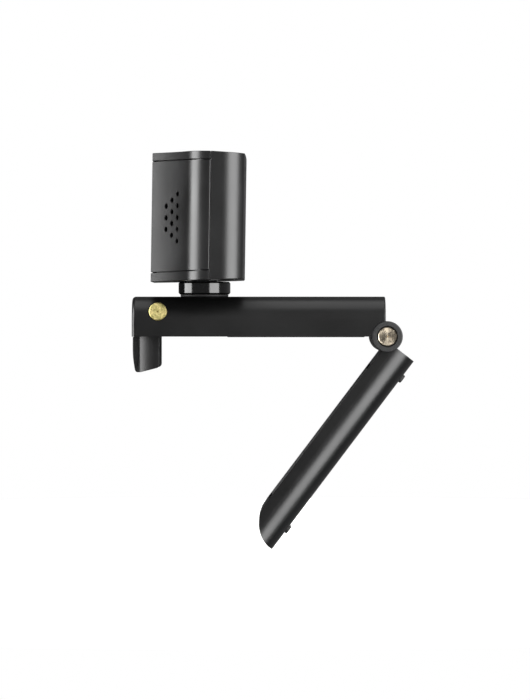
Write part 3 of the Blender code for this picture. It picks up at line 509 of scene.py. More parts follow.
# The head is drawn about its tilt axis, before it leans.
HEAD_FRONT = -15.63 * MM
HEAD_BACK = 12.2 * MM
HEAD_HALF = 35.5 * MM
SNOUT_HALF = 15.0 * MM
HEAD_TOP = 32.1 * MM
HEAD_BOTTOM = -6.1 * MM
HEAD_BOTTOM_RISE = 1.25 * MM
HEAD_TOP_FALL = 0.5 * MM
SEAM = 2.0 * MM
TOP_BAND = 2.3 * MM
BOTTOM_BAND = 2.6 * MM
COVER_SKIN = 1.5 * MM
SHELL_WALL = 1.8 * MM
RIDGE_RADIUS = 7.6 * MM
RIDGE_START = 66.0          # degrees in front of the head's side
FLANK_START = 50.5          # degrees between the flank and +Y at the snout
FLANK_PULL = 6.0 * MM       # length of the curve's handles at both ends of the flank
LENS_Z = 12.8 * MM
MIC_PITCH = 3.44 * MM
MIC_HOLE = 0.72 * MM
MIC_COLUMNS = (3, 4, 5)
MIC_X = 20.2 * MM
STATUS_LIGHT_X = 13.4 * MM
NECK_RADIUS = 7.8 * MM
SOCKET_Z = 11.0 * MM
SOCKET_HALF = 4.47 * MM
SOCKET_RADIUS = 1.6 * MM
SHELL_SCREW_X = 27.5 * MM
SHELL_SCREW_Z = {"lower": 0.5 * MM, "upper": 25.5 * MM}
RIM = 0.16 * MM             # rounding of the top and bottom rims
CREASE = 0.26 * MM          # rounding of the upright corners, wide enough for the rims inside it
SEAM_PLAY = 0.03 * MM       # half of the gap at the seam
LENS_HOLE = 9.5 * MM
LIGHT_HOLE = 1.1 * MM
SOUND_HOLE = 1.5 * MM
SHELL_SCREW_FACE = 9.5 * MM
SHELL_SCREW_HEAD = 1.9 * MM


def head_outline():
    """The head from above, counter-clockwise: snout, flanks, ridges and back."""
    steepest = math.radians(RIDGE_START)
    ridge_centre = (HEAD_HALF - RIDGE_RADIUS, SEAM + 0.1 * MM)
    flank_end = (ridge_centre[0] + RIDGE_RADIUS * math.cos(steepest),
                 ridge_centre[1] - RIDGE_RADIUS * math.sin(steepest))
    flank_start = (SNOUT_HALF, HEAD_FRONT)
    leave = math.radians(FLANK_START)
    handle_one = (flank_start[0] + FLANK_PULL * math.sin(leave),
                  flank_start[1] + FLANK_PULL * math.cos(leave))
    handle_two = (flank_end[0] - FLANK_PULL * math.sin(steepest),
                  flank_end[1] - FLANK_PULL * math.cos(steepest))
    right = [flank_start]
    right += bezier(flank_start, handle_one, handle_two, flank_end, 20)
    right += arc(ridge_centre, RIDGE_RADIUS, 3.0 - RIDGE_START, 0.0, 25)
    wide_radius = 8.0 * MM
    tight_radius = 2.9 * MM
    wide_centre = (HEAD_HALF - wide_radius, 5.4 * MM)
    right += arc(wide_centre, wide_radius, 0.0, 45.0, 14)
    shift = (wide_radius - tight_radius) * math.sqrt(0.5)
    tight_centre = (wide_centre[0] + shift, wide_centre[1] + shift)
    right += arc(tight_centre, tight_radius, 51.0, 88.0, 8)
    right += [(0.5 * HEAD_HALF, HEAD_BACK - 0.09 * MM), (0.0, HEAD_BACK)]
    return mirrored(right)


def head_floor(y):
    """The head's underside rises a little from front to back."""
    return HEAD_BOTTOM + HEAD_BOTTOM_RISE * (y - HEAD_FRONT) / (HEAD_BACK - HEAD_FRONT)


def head_ceiling(y):
    """The head's top falls a little behind the seam."""
    return HEAD_TOP - HEAD_TOP_FALL * max(0.0, y - SEAM) / (HEAD_BACK - SEAM)


def above_floor(height):
    """A level at a height above the sloping underside."""
    return lambda y: head_floor(y) + height


def neck_opening():
    """The oblong opening in the underside that lets the head tilt."""
    half = NECK_RADIUS + 1.1 * MM
    front = -9.7 * MM
    back = 10.1 * MM
    corners = [(-half, front), (half, front), (half, back), (-half, back)]
    return rounded_prism("neck_opening", eased(corners, 4.5 * MM, 8), -12.0 * MM, -1.0 * MM)


def front_holes():
    """Cutters for the lens and the status light."""
    back = -9.5 * MM
    lens = rod("lens_hole", (0.0, LENS_Z), LENS_HOLE, -FAR, back, "Y", 96)
    light = rod("light_hole", (STATUS_LIGHT_X, LENS_Z), LIGHT_HOLE, -FAR, back, "Y", 32)
    return lens, light


def microphone_holes():
    """Countersunk cutters for both hexagonal groups of holes, square to each flank."""
    flank_rear = -3.0 * MM
    points = [point for point in head_outline()
              if point[0] > SNOUT_HALF - GAP and point[1] < flank_rear]
    lengths = [0.0]
    for before, after in zip(points, points[1:]):
        lengths.append(lengths[-1] + (Vector(after) - Vector(before)).length)
    first_column = 7.2 * MM
    column_pitch = MIC_PITCH * math.sqrt(0.75)
    hole_depth = 2.2 * MM
    countersink = 0.14 * MM
    cutters = []
    for column, count in enumerate(MIC_COLUMNS):
        along = first_column + column * column_pitch
        index = max(number for number, length in enumerate(lengths[:-1]) if length <= along)
        start = Vector(points[index])
        step = (Vector(points[index + 1]) - start).normalized()
        place = start + step * (along - lengths[index])
        for row in range(count):
            z = LENS_Z + (row - (count - 1) / 2) * MIC_PITCH
            for side in (-1, 1):
                across = Vector((side * step.y, -step.x, 0.0))
                hole = turned("hole", [(MIC_HOLE, -hole_depth), (MIC_HOLE, -countersink),
                                       (MIC_HOLE + 2 * countersink, countersink)], (0.0, 0.0), "Z", 20)
                turn = Vector((0.0, 0.0, 1.0)).rotation_difference(across).to_matrix().to_4x4()
                hole.data.transform(Matrix.Translation((side * place.x, place.y, z)) @ turn)
                cutters.append(hole)
    return merged("microphone_holes", cutters)


def finish_head(piece, slot, node):
    """Finish a piece of the head, which was drawn about the tilt axis."""
    finish_piece(piece, "head", slot, node, HEAD_PLACE)


def build_front_frame():
    """The front frame: both bands and the set-back wall between them."""
    whole = head_outline()
    limit = SEAM - SEAM_PLAY
    depth = COVER_SKIN + GAP
    wall_thickness = 1.4 * MM
    lap = 0.5 * MM
    caps = eased(clip(whole, limit, True), CREASE)
    top = rounded_prism("front_frame_top_band", caps, HEAD_TOP - TOP_BAND, HEAD_TOP, "Z", 0.1 * MM, RIM)
    bottom = rounded_prism("front_frame_bottom_band", caps, head_floor, above_floor(BOTTOM_BAND), "Z",
                           RIM, 0.1 * MM)
    wall = rounded_prism("front_frame_wall", clip(inset(whole, depth), limit - 0.25 * MM, True),
                         above_floor(BOTTOM_BAND - lap), HEAD_TOP - TOP_BAND + lap)
    cut(wall, rounded_prism("hollow", clip(inset(whole, depth + wall_thickness), SEAM + MM, True),
                            HEAD_BOTTOM - MM, HEAD_TOP + MM), *front_holes())
    for side in (-1, 1):
        cut(wall, rod("sound_hole", (side * MIC_X, LENS_Z), SOUND_HOLE, -14.0 * MM, -2.0 * MM, "Y"))
    cut(bottom, neck_opening())
    for piece in (top, bottom, wall):
        finish_head(piece, "satin_black_plastic", "head_front_frame")


def build_front_cover():
    """The wrap-around cover between the bands, open for the lens, light and microphones."""
    whole = head_outline()
    outer = eased(clip(whole, SEAM - SEAM_PLAY, True), CREASE)
    rim = 0.12 * MM
    cover = rounded_prism("front_cover", outer, above_floor(BOTTOM_BAND + GAP),
                          HEAD_TOP - TOP_BAND - GAP, "Z", rim, rim, 2)
    cut(cover, rounded_prism("inside", clip(inset(whole, COVER_SKIN), SEAM + MM, True),
                             HEAD_BOTTOM - MM, HEAD_TOP + MM), *front_holes())
    cut(cover, microphone_holes())
    finish_head(cover, "satin_black_plastic", "head_front_cover")


def build_back_shell():
    """The back shell with its screw wells, socket opening and neck opening."""
    outline = eased(clip(head_outline(), SEAM + SEAM_PLAY, False), CREASE)
    shell = rounded_prism("back_shell", outline, head_floor, head_ceiling, "Z", RIM, RIM)
    hollow = clip(inset(head_outline(), SHELL_WALL), SEAM - MM, False)
    shank_room = 1.3 * MM
    head_room = 2.3 * MM
    mouth = 2.8 * MM
    cut(shell, rounded_prism("hollow", hollow, above_floor(SHELL_WALL), HEAD_TOP - SHELL_WALL))
    for side in (-1, 1):
        for z in SHELL_SCREW_Z.values():
            centre = (side * SHELL_SCREW_X, z)
            join(shell, rod("boss", centre, 3.0 * MM, SEAM + 0.4 * MM, HEAD_BACK - MM, "Y"))
            well = [(shank_room, 0.0), (shank_room, 8.0 * MM), (head_room, 8.0 * MM),
                    (head_room, 11.7 * MM), (mouth, 12.3 * MM), (mouth, 14.0 * MM)]
            cut(shell, turned("well", well, centre, "Y", 48))
    cut(shell, neck_opening(),
        rounded_prism("socket_opening", socket_outline(GAP), 8.0 * MM, FAR, "Y"))
    finish_head(shell, "satin_black_plastic", "head_back_shell")


def socket_outline(grow):
    """The oblong outline of the cord's socket, in (x, z)."""
    radius = SOCKET_RADIUS + grow
    reach = SOCKET_HALF - SOCKET_RADIUS
    outline = arc((reach, SOCKET_Z), radius, -90.0, 90.0, 12)
    return outline + arc((-reach, SOCKET_Z), radius, 90.0, 270.0, 12)


def recessed_screw(name, centre, face, head_radius, depth, direction, axis):
    """A screw head with a rounded rim and a six-sided socket, and its shank."""
    low = face - direction * depth
    rim = 0.2 * MM
    shank = 0.8 * MM
    length = 5.0 * MM
    profile = [(shank, face - direction * length), (shank, low), (head_radius, low),
               (head_radius, face - direction * rim),
               (head_radius - 0.3 * rim, face - direction * 0.3 * rim), (head_radius - rim, face)]
    made = turned(name, profile, centre, axis, 48)
    socket = turned("socket", [(0.45 * head_radius, face - direction * 0.6 * depth),
                               (0.45 * head_radius, face + direction * depth)], centre, axis, 6)
    cut(made, socket)
    return made


def build_lens():
    """The bezel, its window and the domed front element."""
    centre = (0.0, LENS_Z)
    front = HEAD_FRONT + 0.05 * MM
    step_y = -13.9 * MM
    outside = [(9.2 * MM, -13.4 * MM), (9.2 * MM, front + 0.3 * MM), (9.1 * MM, front + 0.1 * MM),
               (8.9 * MM, front), (7.3 * MM, front)]
    mouth = [(5.0 * MM, 0.0), (5.0 * MM, step_y + 0.3 * MM), (5.6 * MM, step_y), (6.3 * MM, step_y),
             (6.3 * MM, front + 0.9 * MM), (6.9 * MM, front + 0.15 * MM), (7.3 * MM, front),
             (7.4 * MM, -FAR)]
    ring = turned("bezel", outside, centre, "Y", 128)
    cut(ring, turned("mouth", mouth, centre, "Y", 128))
    finish_head(ring, "gloss_black", "lens_bezel_ring")
    window = turned("lens_window_pane", [(5.9 * MM, step_y - 0.2 * MM), (6.0 * MM, step_y - 0.3 * MM),
                                         (6.0 * MM, step_y - 1.0 * MM), (5.9 * MM, step_y - 1.1 * MM)],
                    centre, "Y", 96)
    finish_head(window, "lens_glass", "lens_window")
    dome_base = -11.5 * MM
    dome = [(4.3 * MM, -10.7 * MM), (4.3 * MM, dome_base)]
    for angle in range(10, 91, 10):
        turn = math.radians(angle)
        dome.append((4.2 * MM * math.cos(turn), dome_base - 0.9 * MM * math.sin(turn)))
    element = turned("front_lens", dome, centre, "Y", 96)
    finish_head(element, "lens_glass", "lens_front_element")


def build_shell_screws():
    """The four screws that hold the back shell, sunk in their wells."""
    for height, z in SHELL_SCREW_Z.items():
        for side, word in ((-1, "left"), (1, "right")):
            name = f"shell_screw_{height}_{word}"
            centre = (side * SHELL_SCREW_X, z)
            made = recessed_screw(f"{name}_head", centre, SHELL_SCREW_FACE, SHELL_SCREW_HEAD, 1.4 * MM,
                                  1.0, "Y")
            finish_head(made, "steel", name)


# ------------------------------------------------------------ neck

NECK_Y = PAN_AXIS.y
NECK_BOTTOM = 12.8 * MM
NECK_TOP = 16.6 * MM
TONGUE_HALF = 2.5 * MM
TONGUE_RADIUS = 4.0 * MM
TILT_PIN = 1.3 * MM
CHANNEL_TOP = 10.5 * MM
WASHER_RADIUS = 7.2 * MM
SWIVEL_BORE = 2.5 * MM


def build_neck():
    """The polished neck post with its tilt tongue, the washer below and the screw's head."""
    chamfer = 0.45 * MM
    shoulder = NECK_RADIUS - 0.1 * MM
    profile = [(NECK_RADIUS - chamfer, NECK_BOTTOM), (shoulder, NECK_BOTTOM + 0.8 * chamfer),
               (NECK_RADIUS, NECK_BOTTOM + chamfer), (NECK_RADIUS, NECK_TOP - chamfer),
               (shoulder, NECK_TOP - 0.8 * chamfer), (NECK_RADIUS - chamfer, NECK_TOP)]
    post = turned("neck_body", profile, (0.0, NECK_Y), "Z", 160)
    axis = (NECK_Y, TILT_AXIS.z)
    tongue = [(NECK_Y - TONGUE_RADIUS, NECK_TOP - MM), (NECK_Y + TONGUE_RADIUS, NECK_TOP - MM)]
    tongue += arc(axis, TONGUE_RADIUS, 0.0, 180.0, 24)
    join(post, rounded_prism("tongue", tongue, -TONGUE_HALF, TONGUE_HALF, "X", 0.2 * MM, 0.2 * MM, 2))
    cut(post, rod("tilt_bore", axis, TILT_PIN + GAP, -5.0 * MM, 5.0 * MM),
        rod("screw_bore", (0.0, NECK_Y), MM, 11.0 * MM, 16.0 * MM, "Z"))
    finish_piece(post, "swivel", "gloss_black", "neck_post")
    washer_low = ARM_TOP + 0.02 * MM
    washer_high = NECK_BOTTOM - 0.02 * MM
    soft = 0.15 * MM
    ring = [(WASHER_RADIUS - soft, washer_low), (WASHER_RADIUS, washer_low + soft),
            (WASHER_RADIUS, washer_high - soft), (WASHER_RADIUS - soft, washer_high)]
    washer = turned("neck_washer_ring", ring, (0.0, NECK_Y), "Z", 128)
    cut(washer, rod("bore", (0.0, NECK_Y), SWIVEL_BORE, 11.0 * MM, 14.0 * MM, "Z"))
    finish_piece(washer, "swivel", "matte_black", "neck_washer")
    face = CHANNEL_TOP - 2.25 * MM
    head = recessed_screw("swivel_screw_head", (0.0, NECK_Y), face, 3.6 * MM, 1.6 * MM, -1.0, "Z")
    finish_piece(head, "swivel", "steel", "swivel_screw")


# ------------------------------------------------------------ arm

ARM_WIDTH = 31.0 * MM
ARM_FRONT = -48.75 * MM
ARM_REAR = 26.65 * MM
ARM_RIM = 0.2 * MM
ARM_TOP = 12.1 * MM
ARM_CORNER = 7.4 * MM
ARM_INNER_CORNER = 2.5 * MM
ARM_WALL = 1.6 * MM
CHANNEL_HALF = 12.9 * MM
KNUCKLE_RADIUS = 4.58 * MM
KNUCKLE_INNER = 11.0 * MM
KNUCKLE_OUTER = 15.8 * MM
HINGE_PIN_HEAD = 2.83 * MM
HINGE_PIN_SHAFT = 1.6 * MM
HINGE_SEAT_DEPTH = 1.6 * MM
LIP_PIN_HEAD = 2.64 * MM
LIP_PIN_SHAFT = 1.0 * MM
LIP_PIN_SEAT = 13.6 * MM
SEAT_PLAY = 0.22 * MM
PIN_PROUD = 0.1 * MM
PAD_LENGTH = 41.0 * MM
PAD_THICKNESS = 1.1 * MM


def arm_section(half, top, corner, bottom, steps):
    """An inverted U outline in (x, z)."""
    return mirrored([(half, bottom)] + arc((half - corner, top - corner), corner, 0.0, 90.0, steps))


def build_arm():
    """The arm's shell, its channel and pin seats, and the barrels at its rear."""
    half = ARM_WIDTH / 2
    below = 4.0 * MM
    section = eased(arm_section(half, ARM_TOP, ARM_CORNER, ARM_RIM - below, 20), 0.8 * MM)
    shell = rounded_prism("arm_body", section, ARM_FRONT, ARM_REAR, "Y", 1.1 * MM, 0.35 * MM, 6)
    cut(shell, block("underside", (-2.5 * FAR, -5.0 * FAR, -1.5 * FAR), (2.5 * FAR, 5.0 * FAR, ARM_RIM)))
    channel = arm_section(CHANNEL_HALF, CHANNEL_TOP, ARM_INNER_CORNER, -5.0 * MM, 10)
    cut(shell, rounded_prism("channel", channel, ARM_FRONT + ARM_WALL, ARM_REAR - ARM_WALL, "Y"))
    hinge = (LEG_AXIS.y, LEG_AXIS.z)
    cut(shell, rod("knuckle_room", hinge, KNUCKLE_RADIUS + GAP, -KNUCKLE_INNER, KNUCKLE_INNER, sides=96))
    for side in (-1, 1):
        low, high = sorted((side * (KNUCKLE_INNER - 0.01 * MM), side * FAR))
        cut(shell, rod("barrel_room", hinge, KNUCKLE_RADIUS + 0.05 * MM, low, high, sides=96))
        low, high = sorted((side * LIP_PIN_SEAT, side * FAR))
        seat = rod("lip_seat", (LIP_AXIS.y, LIP_AXIS.z), LIP_PIN_HEAD + SEAT_PLAY, low, high, sides=96)
        cut(shell, seat)
    cut(shell, rod("lip_bore", (LIP_AXIS.y, LIP_AXIS.z), LIP_PIN_SHAFT + GAP, -FAR, FAR),
        rod("swivel_bore", (0.0, NECK_Y), SWIVEL_BORE, 9.0 * MM, 14.0 * MM, "Z"))
    finish_piece(shell, "arm", "satin_black_metal", "arm_shell", edge=0.18 * MM)
    for side, word in ((-1, "left"), (1, "right")):
        build_barrel(f"hinge_barrel_{word}", side, hinge)


def build_barrel(name, side, hinge):
    """One of the arm's round hinge barrels, grained, with its pin seat."""
    rim = 0.4 * MM
    seat = HINGE_PIN_HEAD + SEAT_PLAY
    ease = 0.1 * MM
    seat_floor = KNUCKLE_OUTER - HINGE_SEAT_DEPTH
    levels = [(KNUCKLE_RADIUS - ease, KNUCKLE_INNER), (KNUCKLE_RADIUS, KNUCKLE_INNER + ease),
              (KNUCKLE_RADIUS, KNUCKLE_OUTER - rim),
              (KNUCKLE_RADIUS - 0.3 * rim, KNUCKLE_OUTER - 0.3 * rim),
              (KNUCKLE_RADIUS - rim, KNUCKLE_OUTER)]
    barrel = turned(name, [(radius, side * level) for radius, level in levels], hinge, "X", 128)
    bore = [(HINGE_PIN_SHAFT + GAP, 0.0), (HINGE_PIN_SHAFT + GAP, seat_floor),
            (seat, seat_floor), (seat, KNUCKLE_OUTER - 0.2 * MM),
            (seat + 0.3 * MM, KNUCKLE_OUTER + 0.1 * MM)]
    cut(barrel, turned("bore", [(radius, side * level) for radius, level in bore], hinge, "X", 128))
    finish_piece(barrel, "arm", "satin_black_metal", "arm_shell", look="textured_grey")


def pin_head(name, centre, radius, low, face, slot, node, shaft):
    """A round head with a chamfered rim and a centre dimple, on a shaft unless it is a nut."""
    side = 1.0 if face > 0.0 else -1.0
    chamfer = 0.28 * MM
    dimple = 0.28 * MM
    profile = [(radius, low), (radius, face - side * chamfer), (radius - chamfer, face)]
    if shaft > 0.0:
        profile = [(shaft, -low), (shaft, low)] + profile
    made = turned(name, profile, centre, "X", 128)
    cut(made, turned("dimple", [(0.05 * MM, face - side * dimple), (dimple, face + side * 0.02 * MM)],
                     centre, "X", 32))
    finish_piece(made, "arm", slot, node)


def build_pins():
    """Both hinge pins and the matching nuts on the arm's far side."""
    lip = (LIP_AXIS.y, LIP_AXIS.z)
    hinge = (LEG_AXIS.y, LEG_AXIS.z)
    lip_face = ARM_WIDTH / 2 + PIN_PROUD
    hinge_face = KNUCKLE_OUTER + PIN_PROUD
    hinge_seat = KNUCKLE_OUTER - HINGE_SEAT_DEPTH
    for side, lip_node, hinge_node in ((1.0, "lip_pin", "rear_hinge_pin"),
                                       (-1.0, "lip_pin_nut", "rear_hinge_nut")):
        has_shaft = side > 0.0
        pin_head(f"{lip_node}_cap", lip, LIP_PIN_HEAD, side * (LIP_PIN_SEAT + PIN_PROUD),
                 side * lip_face, "brass", lip_node, LIP_PIN_SHAFT * has_shaft)
        pin_head(f"{hinge_node}_cap", hinge, HINGE_PIN_HEAD, side * (hinge_seat + PIN_PROUD),
                 side * hinge_face, "turned_bronze", hinge_node, HINGE_PIN_SHAFT * has_shaft)


def ribbed_pad(name, low, high, facing, ribs, body, node, place=None):
    """A rubber pad with rounded corners and shallow grooves across its face."""
    outline = [(low[0], low[1]), (high[0], low[1]), (high[0], high[1]), (low[0], high[1])]
    soft = 0.25 * MM
    groove = 0.2 * MM
    margin = 1.5 * MM
    pad = rounded_prism(name, eased(outline, MM, 6), low[2], high[2], "Z", soft, soft, 3)
    face = low[2] if facing < 0 else high[2]
    pitch = (high[1] - low[1]) / (ribs + 1)
    for rib in range(ribs):
        y = low[1] + pitch * (rib + 1)
        cut(pad, rod("groove", (y, face + facing * 0.03 * MM), groove, low[0] + margin,
                     high[0] - margin, "X", 16))
    finish_piece(pad, body, "rubber", node, place)


def build_arm_underside():
    """The rest pad; the bottom plate over it keeps its CAD shape."""
    half = CHANNEL_HALF - GAP - MM
    ribbed_pad("rest_pad_rubber", (-half, -PAD_LENGTH / 2, 0.0), (half, PAD_LENGTH / 2, PAD_THICKNESS),
               -1, 9, "arm", "rest_pad")


# ------------------------------------------------------------ lip

LIP_HALF = 12.6 * MM
LIP_BOTTOM = -10.4 * MM
LIP_TOP = 0.1 * MM
LIP_FRONT = ARM_FRONT + 0.2 * MM
LIP_THICKNESS = 2.4 * MM
CHEEK_INNER = 10.9 * MM
CHEEK_OUTER = 11.85 * MM
CHEEK_REAR = LIP_AXIS.y + 0.4 * MM
CHEEK_LOW = -9.25 * MM
CHEEK_BOSS = 1.95 * MM
FLARE_DEPTH = 4.0 * MM


def build_lip():
    """The hook: a plate whose edges sweep back into two cheeks, and its pad."""
    rear = LIP_FRONT + LIP_THICKNESS
    top = LIP_AXIS.z + CHEEK_BOSS
    right = [(LIP_HALF, LIP_FRONT), (LIP_HALF, rear - GAP)]
    right += bezier((LIP_HALF, rear - GAP), (CHEEK_OUTER + 0.4 * MM, rear + 0.15 * FLARE_DEPTH),
                    (CHEEK_OUTER + 0.05 * MM, rear + 0.5 * FLARE_DEPTH),
                    (CHEEK_OUTER, rear + FLARE_DEPTH), 12)
    right += [(CHEEK_OUTER, CHEEK_REAR), (CHEEK_INNER, CHEEK_REAR), (CHEEK_INNER, rear)]
    plan = eased(mirrored(right), 0.3 * MM)
    lip = rounded_prism("lip_hook", plan, LIP_BOTTOM, LIP_AXIS.z)
    corner = 1.2 * MM
    toe = (LIP_FRONT + 1.5 * MM, LIP_BOTTOM)
    shin = (LIP_FRONT + 0.6 * MM, LIP_BOTTOM + 1.1 * MM)
    outline = [(rear, LIP_BOTTOM), toe]
    outline += bezier(toe, (LIP_FRONT + MM, LIP_BOTTOM), (LIP_FRONT + 0.7 * MM, LIP_BOTTOM + 0.4 * MM),
                      shin, 6)
    outline += bezier(shin, (LIP_FRONT + 0.3 * MM, -7.5 * MM), (LIP_FRONT, -5.5 * MM),
                      (LIP_FRONT, -3.0 * MM), 12)
    outline += [(LIP_FRONT, LIP_TOP), (rear - GAP, LIP_TOP), (rear - GAP, LIP_AXIS.z + MM),
                (CHEEK_REAR, LIP_AXIS.z + MM)]
    outline += arc((CHEEK_REAR - corner, CHEEK_LOW + corner), corner, 0.0, -80.0, 8)
    side_shape = rounded_prism("side_shape", outline, -FAR, FAR, "X")
    combine(lip, side_shape, "INTERSECT")
    axis = (LIP_AXIS.y, LIP_AXIS.z)
    for side in (-1, 1):
        low, high = sorted((side * CHEEK_INNER, side * (CHEEK_OUTER - 0.2 * MM)))
        join(lip, rod("boss", axis, CHEEK_BOSS, low, high, sides=64))
    cut(lip, rod("bore", axis, LIP_PIN_SHAFT + 0.1 * MM, -FAR, FAR))
    middle_y = LIP_FRONT + 1.3 * MM
    middle_z = -4.6 * MM
    reach = 16.0 * MM
    recess_radius = reach + 0.6 * MM
    recess = arc((middle_y - reach, middle_z), recess_radius, -15.0, 15.0, 16)
    recess += arc((middle_y + reach, middle_z), recess_radius, 165.0, 195.0, 16)
    for side in (-1, 1):
        low, high = sorted((side * (LIP_HALF - 0.3 * MM), side * 15.0 * MM))
        cut(lip, rounded_prism("recess", recess, low, high, "X"))
    finish_piece(lip, "lip", "satin_black_metal", "lip_plate", edge=0.2 * MM)
    half = CHEEK_INNER - 0.6 * MM
    front = rear + GAP
    turn = Matrix(((1.0, 0.0, 0.0, 0.0),
                   (0.0, 0.0, -1.0, 0.0),
                   (0.0, 1.0, 0.0, 0.0),
                   (0.0, 0.0, 0.0, 1.0)))
    low = (-half, LIP_BOTTOM + MM, -front - 0.8 * MM)
    high = (half, LIP_TOP - 0.9 * MM, -front)
    ribbed_pad("lip_pad_rubber", low, high, -1, 4, "lip", "lip_pad", turn)


# ------------------------------------------------------------ leg

LEG_HALF = 10.5 * MM
LEG_TIP = -71.5 * MM
LEG_HEEL = -1.0 * MM
LEG_INNER = -1.18 * MM
LEG_OUTER = -11.18 * MM
LEG_CORNER = 7.4 * MM
LEG_WALL = 1.8 * MM
LEG_NOSE = 10.0 * MM
LEG_CAVITY_FRONT = -60.0 * MM
LEG_CAVITY_REAR = -9.5 * MM
LEG_KNUCKLE_HALF = 9.8 * MM
COVER_TOP = -2.4 * MM
FOOT_Y = {"foot_lower": -64.0 * MM, "foot_upper": -7.3 * MM}
FOOT_SIZE = (8.0 * MM, 2.6 * MM)
FOOT_PROUD = 0.7 * MM


def leg_section(half, corner, outer, inner, steps=16):
    """The leg's section in (x, z): its two outer edges are rounded."""
    right = [(half, inner)] + arc((half - corner, outer + corner), corner, 0.0, -90.0, steps)
    return list(reversed(mirrored(right)))


def foot_solid(name, centre_y, grow, low, high, soft=0.0):
    """An oblong foot with round ends across the leg."""
    radius = FOOT_SIZE[1] / 2
    reach = FOOT_SIZE[0] / 2 - radius
    outline = arc((reach, centre_y), radius + grow, -90.0, 90.0, 16)
    outline += arc((-reach, centre_y), radius + grow, 90.0, 270.0, 16)
    return rounded_prism(name, outline, low, high, "Z", soft, 0.0)


def build_leg():
    """The folding leg, its feet and its pad, drawn flat about the hinge axis and then opened."""
    leg = rounded_prism("leg_body", leg_section(LEG_HALF, LEG_CORNER, LEG_OUTER, 5.0 * MM), LEG_TIP,
                        LEG_HEEL, "Y")
    side = [(LEG_HEEL, LEG_OUTER - MM), (LEG_HEEL, LEG_INNER)]
    side += arc((LEG_TIP + LEG_NOSE, LEG_INNER - LEG_NOSE), LEG_NOSE, 90.0, 180.0, 24)
    side += [(LEG_TIP, LEG_OUTER - MM)]
    combine(leg, rounded_prism("side_shape", side, -FAR, FAR, "X"), "INTERSECT")
    half = LEG_HALF - LEG_WALL
    cut(leg, rounded_prism("cavity", leg_section(half, 5.5 * MM, LEG_OUTER + LEG_WALL, 5.0 * MM, 10),
                           LEG_CAVITY_FRONT, LEG_CAVITY_REAR, "Y"))
    join(leg, rod("knuckle", (0.0, 0.0), KNUCKLE_RADIUS, -LEG_KNUCKLE_HALF, LEG_KNUCKLE_HALF, sides=96))
    for edge in (-1, 1):
        low, high = sorted((edge * LEG_KNUCKLE_HALF, edge * 12.0 * MM))
        cut(leg, rod("washer_room", (0.0, 0.0), KNUCKLE_RADIUS, low, high, sides=96))
    cut(leg, rod("bore", (0.0, 0.0), HINGE_PIN_SHAFT + GAP, -FAR, FAR))
    foot_depth = 0.5 * MM
    for foot_y in FOOT_Y.values():
        cut(leg, foot_solid("foot_seat", foot_y, GAP, LEG_OUTER - MM, LEG_OUTER + foot_depth))
    finish_piece(leg, "leg", "satin_black_metal", "leg_shell", LEG_PLACE, 0.12 * MM)
    for name, foot_y in FOOT_Y.items():
        foot = foot_solid(f"{name}_rubber", foot_y, 0.0, LEG_OUTER - FOOT_PROUD,
                          LEG_OUTER + foot_depth - 0.1 * MM, 0.3 * MM)
        finish_piece(foot, "leg", "rubber", name, LEG_PLACE)
    pad_half = half - GAP - 0.4 * MM
    ribbed_pad("leg_grip_rubber", (-pad_half, LEG_CAVITY_FRONT + 1.5 * MM, COVER_TOP + GAP),
               (pad_half, LEG_CAVITY_REAR - 1.5 * MM, LEG_INNER), 1, 11, "leg", "leg_grip_pad", LEG_PLACE)


# ------------------------------------------------------------ picture

CAMERA_DISTANCE = 1008.0 * MM   # from the arm's side
CAMERA_Y = -9.19 * MM
CAMERA_Z = 5.99 * MM
CAMERA_LENS = 174.86            # focal length in millimetres
CAMERA_SENSOR = 36.0            # longer side in millimetres
CAMERA_SHIFT = -0.047           # upward shift of the view, as a share of its longer side
LIGHT_DISTANCE = 2.2            # in metres, from the origin
DARK_SIDE = (-0.6, -0.8, 0.0)   # the direction in which the surround is darkest
FLOOR_RADIUS = 300.0 * MM
FLOOR_DROP = 1.0 * MM           # from the leg's tip down to the floor


def strip_light(name, azimuth, elevation, width, height, radiance):
    """A soft light aimed at the origin; azimuth 0 is +X and 90 is +Y."""
    light = bpy.data.lights.new(name, "AREA")
    light.shape = "RECTANGLE"
    light.size = width
    light.size_y = height
    light.energy = radiance * math.pi * width * height
    made = bpy.data.objects.new(name, light)
    across = math.radians(azimuth)
    up = math.radians(elevation)
    place = Vector((math.cos(up) * math.cos(across), math.cos(up) * math.sin(across), math.sin(up)))
    made.location = place * LIGHT_DISTANCE
    made.rotation_euler = place.to_track_quat("Z", "Y").to_euler()
    made.visible_camera = False
    bpy.context.collection.objects.link(made)


def span(degrees):
    """The width that spans an angle as seen from the object."""
    return 2.0 * LIGHT_DISTANCE * math.tan(math.radians(degrees) / 2)


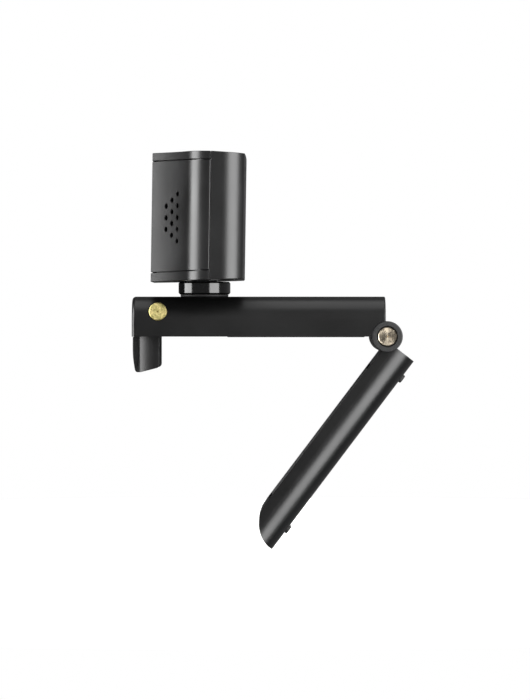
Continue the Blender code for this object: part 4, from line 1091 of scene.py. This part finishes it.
def light_scene():
    """Two tall strips, a soft top, and a grey surround that the camera sees as white."""
    strip_light("front_strip", azimuth=-78.0, elevation=0.0, width=span(39.0), height=span(80.0),
                radiance=10.6)
    strip_light("rear_strip", azimuth=45.5, elevation=0.0, width=span(45.0), height=span(90.0),
                radiance=9.0)
    strip_light("overhead", azimuth=0.0, elevation=85.0, width=span(40.0), height=span(50.0),
                radiance=1.5)
    world = bpy.data.worlds.new("surround")
    bpy.context.scene.world = world
    world.use_nodes = True
    tree = world.node_tree
    surround = tree.nodes["Background"]
    surround.inputs["Color"].default_value = (0.25, 0.25, 0.253, 1.0)
    direction = tree.nodes.new("ShaderNodeTexCoord")
    toward = tree.nodes.new("ShaderNodeVectorMath")
    toward.operation = "DOT_PRODUCT"
    toward.inputs[1].default_value = DARK_SIDE
    tree.links.new(direction.outputs["Generated"], toward.inputs[0])
    shade = tree.nodes.new("ShaderNodeMapRange")
    shade.inputs["From Min"].default_value = 0.2
    shade.inputs["From Max"].default_value = 0.85
    shade.inputs["To Min"].default_value = 1.0
    shade.inputs["To Max"].default_value = 0.15
    tree.links.new(toward.outputs["Value"], shade.inputs["Value"])
    tree.links.new(shade.outputs["Result"], surround.inputs["Strength"])
    backdrop = tree.nodes.new("ShaderNodeBackground")
    backdrop.inputs["Color"].default_value = (1.0, 1.0, 1.0, 1.0)
    path = tree.nodes.new("ShaderNodeLightPath")
    blend = tree.nodes.new("ShaderNodeMixShader")
    tree.links.new(path.outputs["Is Camera Ray"], blend.inputs["Fac"])
    tree.links.new(surround.outputs["Background"], blend.inputs[1])
    tree.links.new(backdrop.outputs["Background"], blend.inputs[2])
    tree.links.new(blend.outputs["Shader"], tree.nodes["World Output"].inputs["Surface"])
    bpy.context.scene.view_settings.view_transform = "Standard"


def build_floor():
    """A pale round floor just under the leg's tip, its rim sloping in below."""
    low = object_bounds()[0]
    made, tree, shader = new_material("floor_paper", (0.9, 0.9, 0.9), 0.9, Emission_Strength=0.7)
    grain = noise(tree, 60.0)
    vary_colour(tree, shader, grain, (0.88, 0.88, 0.88), (0.92, 0.92, 0.92))
    top = low[2] - FLOOR_DROP
    floor = turned("floor", [(FLOOR_RADIUS - 10.0 * MM, top - MM), (FLOOR_RADIUS, top)],
                   (0.0, CAMERA_Y), "Z", 96)
    floor.data.materials.append(made)
    floor.visible_glossy = False


def place_camera():
    """A long lens level with the arm, square to the object's side."""
    camera = bpy.data.cameras.new("camera")
    camera.lens = CAMERA_LENS
    camera.sensor_width = CAMERA_SENSOR
    camera.shift_y = CAMERA_SHIFT
    made = bpy.data.objects.new("camera", camera)
    made.location = (ARM_WIDTH / 2 + CAMERA_DISTANCE, CAMERA_Y, CAMERA_Z)
    made.rotation_euler = (math.radians(90.0), 0.0, math.radians(90.0))
    bpy.context.collection.objects.link(made)
    bpy.context.scene.camera = made


dress_cad_nodes()
build_front_frame()
build_front_cover()
build_back_shell()
build_lens()
build_shell_screws()
build_neck()
build_arm()
build_pins()
build_arm_underside()
build_lip()
build_leg()
light_scene()
build_floor()
place_camera()
